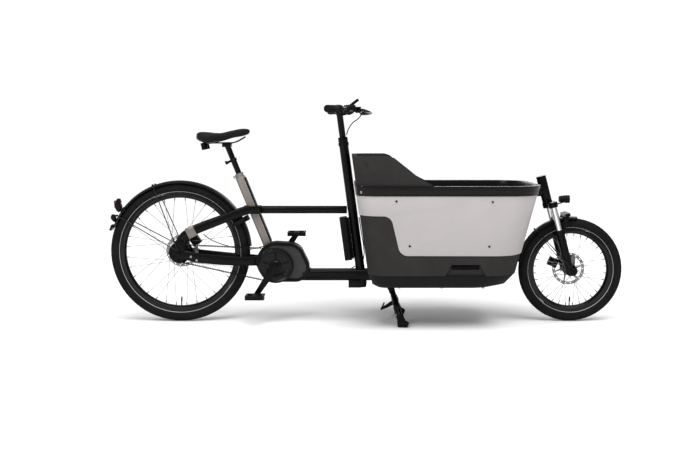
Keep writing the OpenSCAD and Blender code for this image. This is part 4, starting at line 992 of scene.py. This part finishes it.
# ---------------------------------------------------------------- add-on
class CargoBikeSettings(bpy.types.PropertyGroup):
    """Colours and sizes that a user may change"""
    frame_colour: FloatVectorProperty(
        name="Frame colour", description="Powder coat of the frame", subtype="COLOR", size=3,
        min=0, max=1, default=(0.0032, 0.0031, 0.0032))
    tube_colour: FloatVectorProperty(
        name="Seat tube colour", description="Paint of the seat tube and the sleeve",
        subtype="COLOR", size=3, min=0, max=1, default=(0.19, 0.168, 0.155))
    panel_colour: FloatVectorProperty(
        name="Panel colour", description="Paint of the side panels", subtype="COLOR", size=3,
        min=0, max=1, default=(0.435, 0.412, 0.408))
    box_colour: FloatVectorProperty(
        name="Box colour", description="Foam of the box and the backrest", subtype="COLOR", size=3,
        min=0, max=1, default=(0.026, 0.0245, 0.024))
    rear_tread: IntProperty(
        name="Rear tread blocks", description="Blocks in one row of the rear tread",
        default=84, min=24, max=120)
    front_tread: IntProperty(
        name="Front tread blocks", description="Blocks in one row of the front tread",
        default=62, min=24, max=120)
    sky_strength: FloatProperty(
        name="Sky strength", description="Light from all round", default=0.36, min=0)
    overhead_power: FloatProperty(
        name="Daylight", description="Strength of the broad light overhead", default=2.95, min=0)
    front_power: FloatProperty(
        name="Front light", description="Power of the front softbox", subtype="POWER",
        default=60, min=0)
    camera_ahead: FloatProperty(
        name="Camera ahead", description="Camera ahead of the rear axle, in millimetres",
        default=844)
    camera_distance: FloatProperty(
        name="Camera distance", description="Camera to the middle plane, in millimetres",
        default=5000)
    camera_height: FloatProperty(
        name="Camera height", description="Camera above the floor, in millimetres", default=949)
    aim_height: FloatProperty(
        name="Aim height", description="Height that the camera looks at, in millimetres",
        default=481)
    lens: FloatProperty(
        name="Lens", description="Focal length", subtype="DISTANCE_CAMERA", default=51.9)


def ready(context):
    """The settings, once the finishes are made."""
    settings = context.scene.cargo_bike
    if not LOOKS:
        make_looks(settings)
    return settings


class CARGOBIKE_OT_stage(bpy.types.Operator):
    """Builds the floor, the lights and the camera"""
    bl_idname = "cargobike.stage"
    bl_label = "Build stage"

    def execute(self, context):
        build_stage(ready(context))
        return {"FINISHED"}


class CARGOBIKE_OT_frame(bpy.types.Operator):
    """Builds the tubes, the stays, the column and their bolts"""
    bl_idname = "cargobike.frame"
    bl_label = "Build frame"

    def execute(self, context):
        ready(context)
        build_frame()
        return {"FINISHED"}


class CARGOBIKE_OT_box(bpy.types.Operator):
    """Builds the shell, panels, rim, backrest and tray"""
    bl_idname = "cargobike.box"
    bl_label = "Build cargo box"

    def execute(self, context):
        ready(context)
        build_box()
        return {"FINISHED"}


class CARGOBIKE_OT_wheels(bpy.types.Operator):
    """Builds the tyres, rims, spokes, hubs and discs"""
    bl_idname = "cargobike.wheels"
    bl_label = "Build wheels"

    def execute(self, context):
        build_wheels(ready(context))
        return {"FINISHED"}


class CARGOBIKE_OT_drive(bpy.types.Operator):
    """Builds the motor, belt, pulleys, cranks and pedals"""
    bl_idname = "cargobike.drive"
    bl_label = "Build drive"

    def execute(self, context):
        ready(context)
        build_drive()
        return {"FINISHED"}


class CARGOBIKE_OT_rear(bpy.types.Operator):
    """Builds the rear fender, lamp, caliper and lock"""
    bl_idname = "cargobike.rear"
    bl_label = "Build rear end"

    def execute(self, context):
        ready(context)
        build_rear()
        return {"FINISHED"}


class CARGOBIKE_OT_fork(bpy.types.Operator):
    """Builds the fork, front fender, caliper and headlamp"""
    bl_idname = "cargobike.fork"
    bl_label = "Build fork"

    def execute(self, context):
        ready(context)
        build_fork()
        return {"FINISHED"}


class CARGOBIKE_OT_steering(bpy.types.Operator):
    """Builds the stem, bar, grips, levers and hoses"""
    bl_idname = "cargobike.steering"
    bl_label = "Build steering"

    def execute(self, context):
        ready(context)
        build_steering()
        return {"FINISHED"}


class CARGOBIKE_OT_seat(bpy.types.Operator):
    """Builds the seatpost, rails and saddle"""
    bl_idname = "cargobike.seat"
    bl_label = "Build seat"

    def execute(self, context):
        ready(context)
        build_seat()
        return {"FINISHED"}


class CARGOBIKE_OT_stand(bpy.types.Operator):
    """Builds the centre stand and its boots"""
    bl_idname = "cargobike.stand"
    bl_label = "Build stand"

    def execute(self, context):
        ready(context)
        build_stand()
        return {"FINISHED"}


OPERATORS = (CARGOBIKE_OT_stage, CARGOBIKE_OT_frame, CARGOBIKE_OT_box,
             CARGOBIKE_OT_wheels, CARGOBIKE_OT_drive, CARGOBIKE_OT_rear,
             CARGOBIKE_OT_fork, CARGOBIKE_OT_steering, CARGOBIKE_OT_seat,
             CARGOBIKE_OT_stand)


class CARGOBIKE_PT_panel(bpy.types.Panel):
    """Lists the operators and the settings"""
    bl_label = "Cargo bicycle"
    bl_space_type = "VIEW_3D"
    bl_region_type = "UI"
    bl_category = "Cargo bicycle"

    def draw(self, context):
        for kind in OPERATORS:
            self.layout.operator(kind.bl_idname)
        for key in CargoBikeSettings.__annotations__:
            self.layout.prop(context.scene.cargo_bike, key)


CLASSES = (CargoBikeSettings, *OPERATORS, CARGOBIKE_PT_panel)


def register():
    for kind in CLASSES:
        bpy.utils.register_class(kind)
    bpy.types.Scene.cargo_bike = PointerProperty(type=CargoBikeSettings)


def unregister():
    del bpy.types.Scene.cargo_bike
    for kind in reversed(CLASSES):
        bpy.utils.unregister_class(kind)


def main():
    register()
    for kind in OPERATORS:
        group, name = kind.bl_idname.split(".")
        getattr(getattr(bpy.ops, group), name)()


if __name__ == "__main__":
    main()
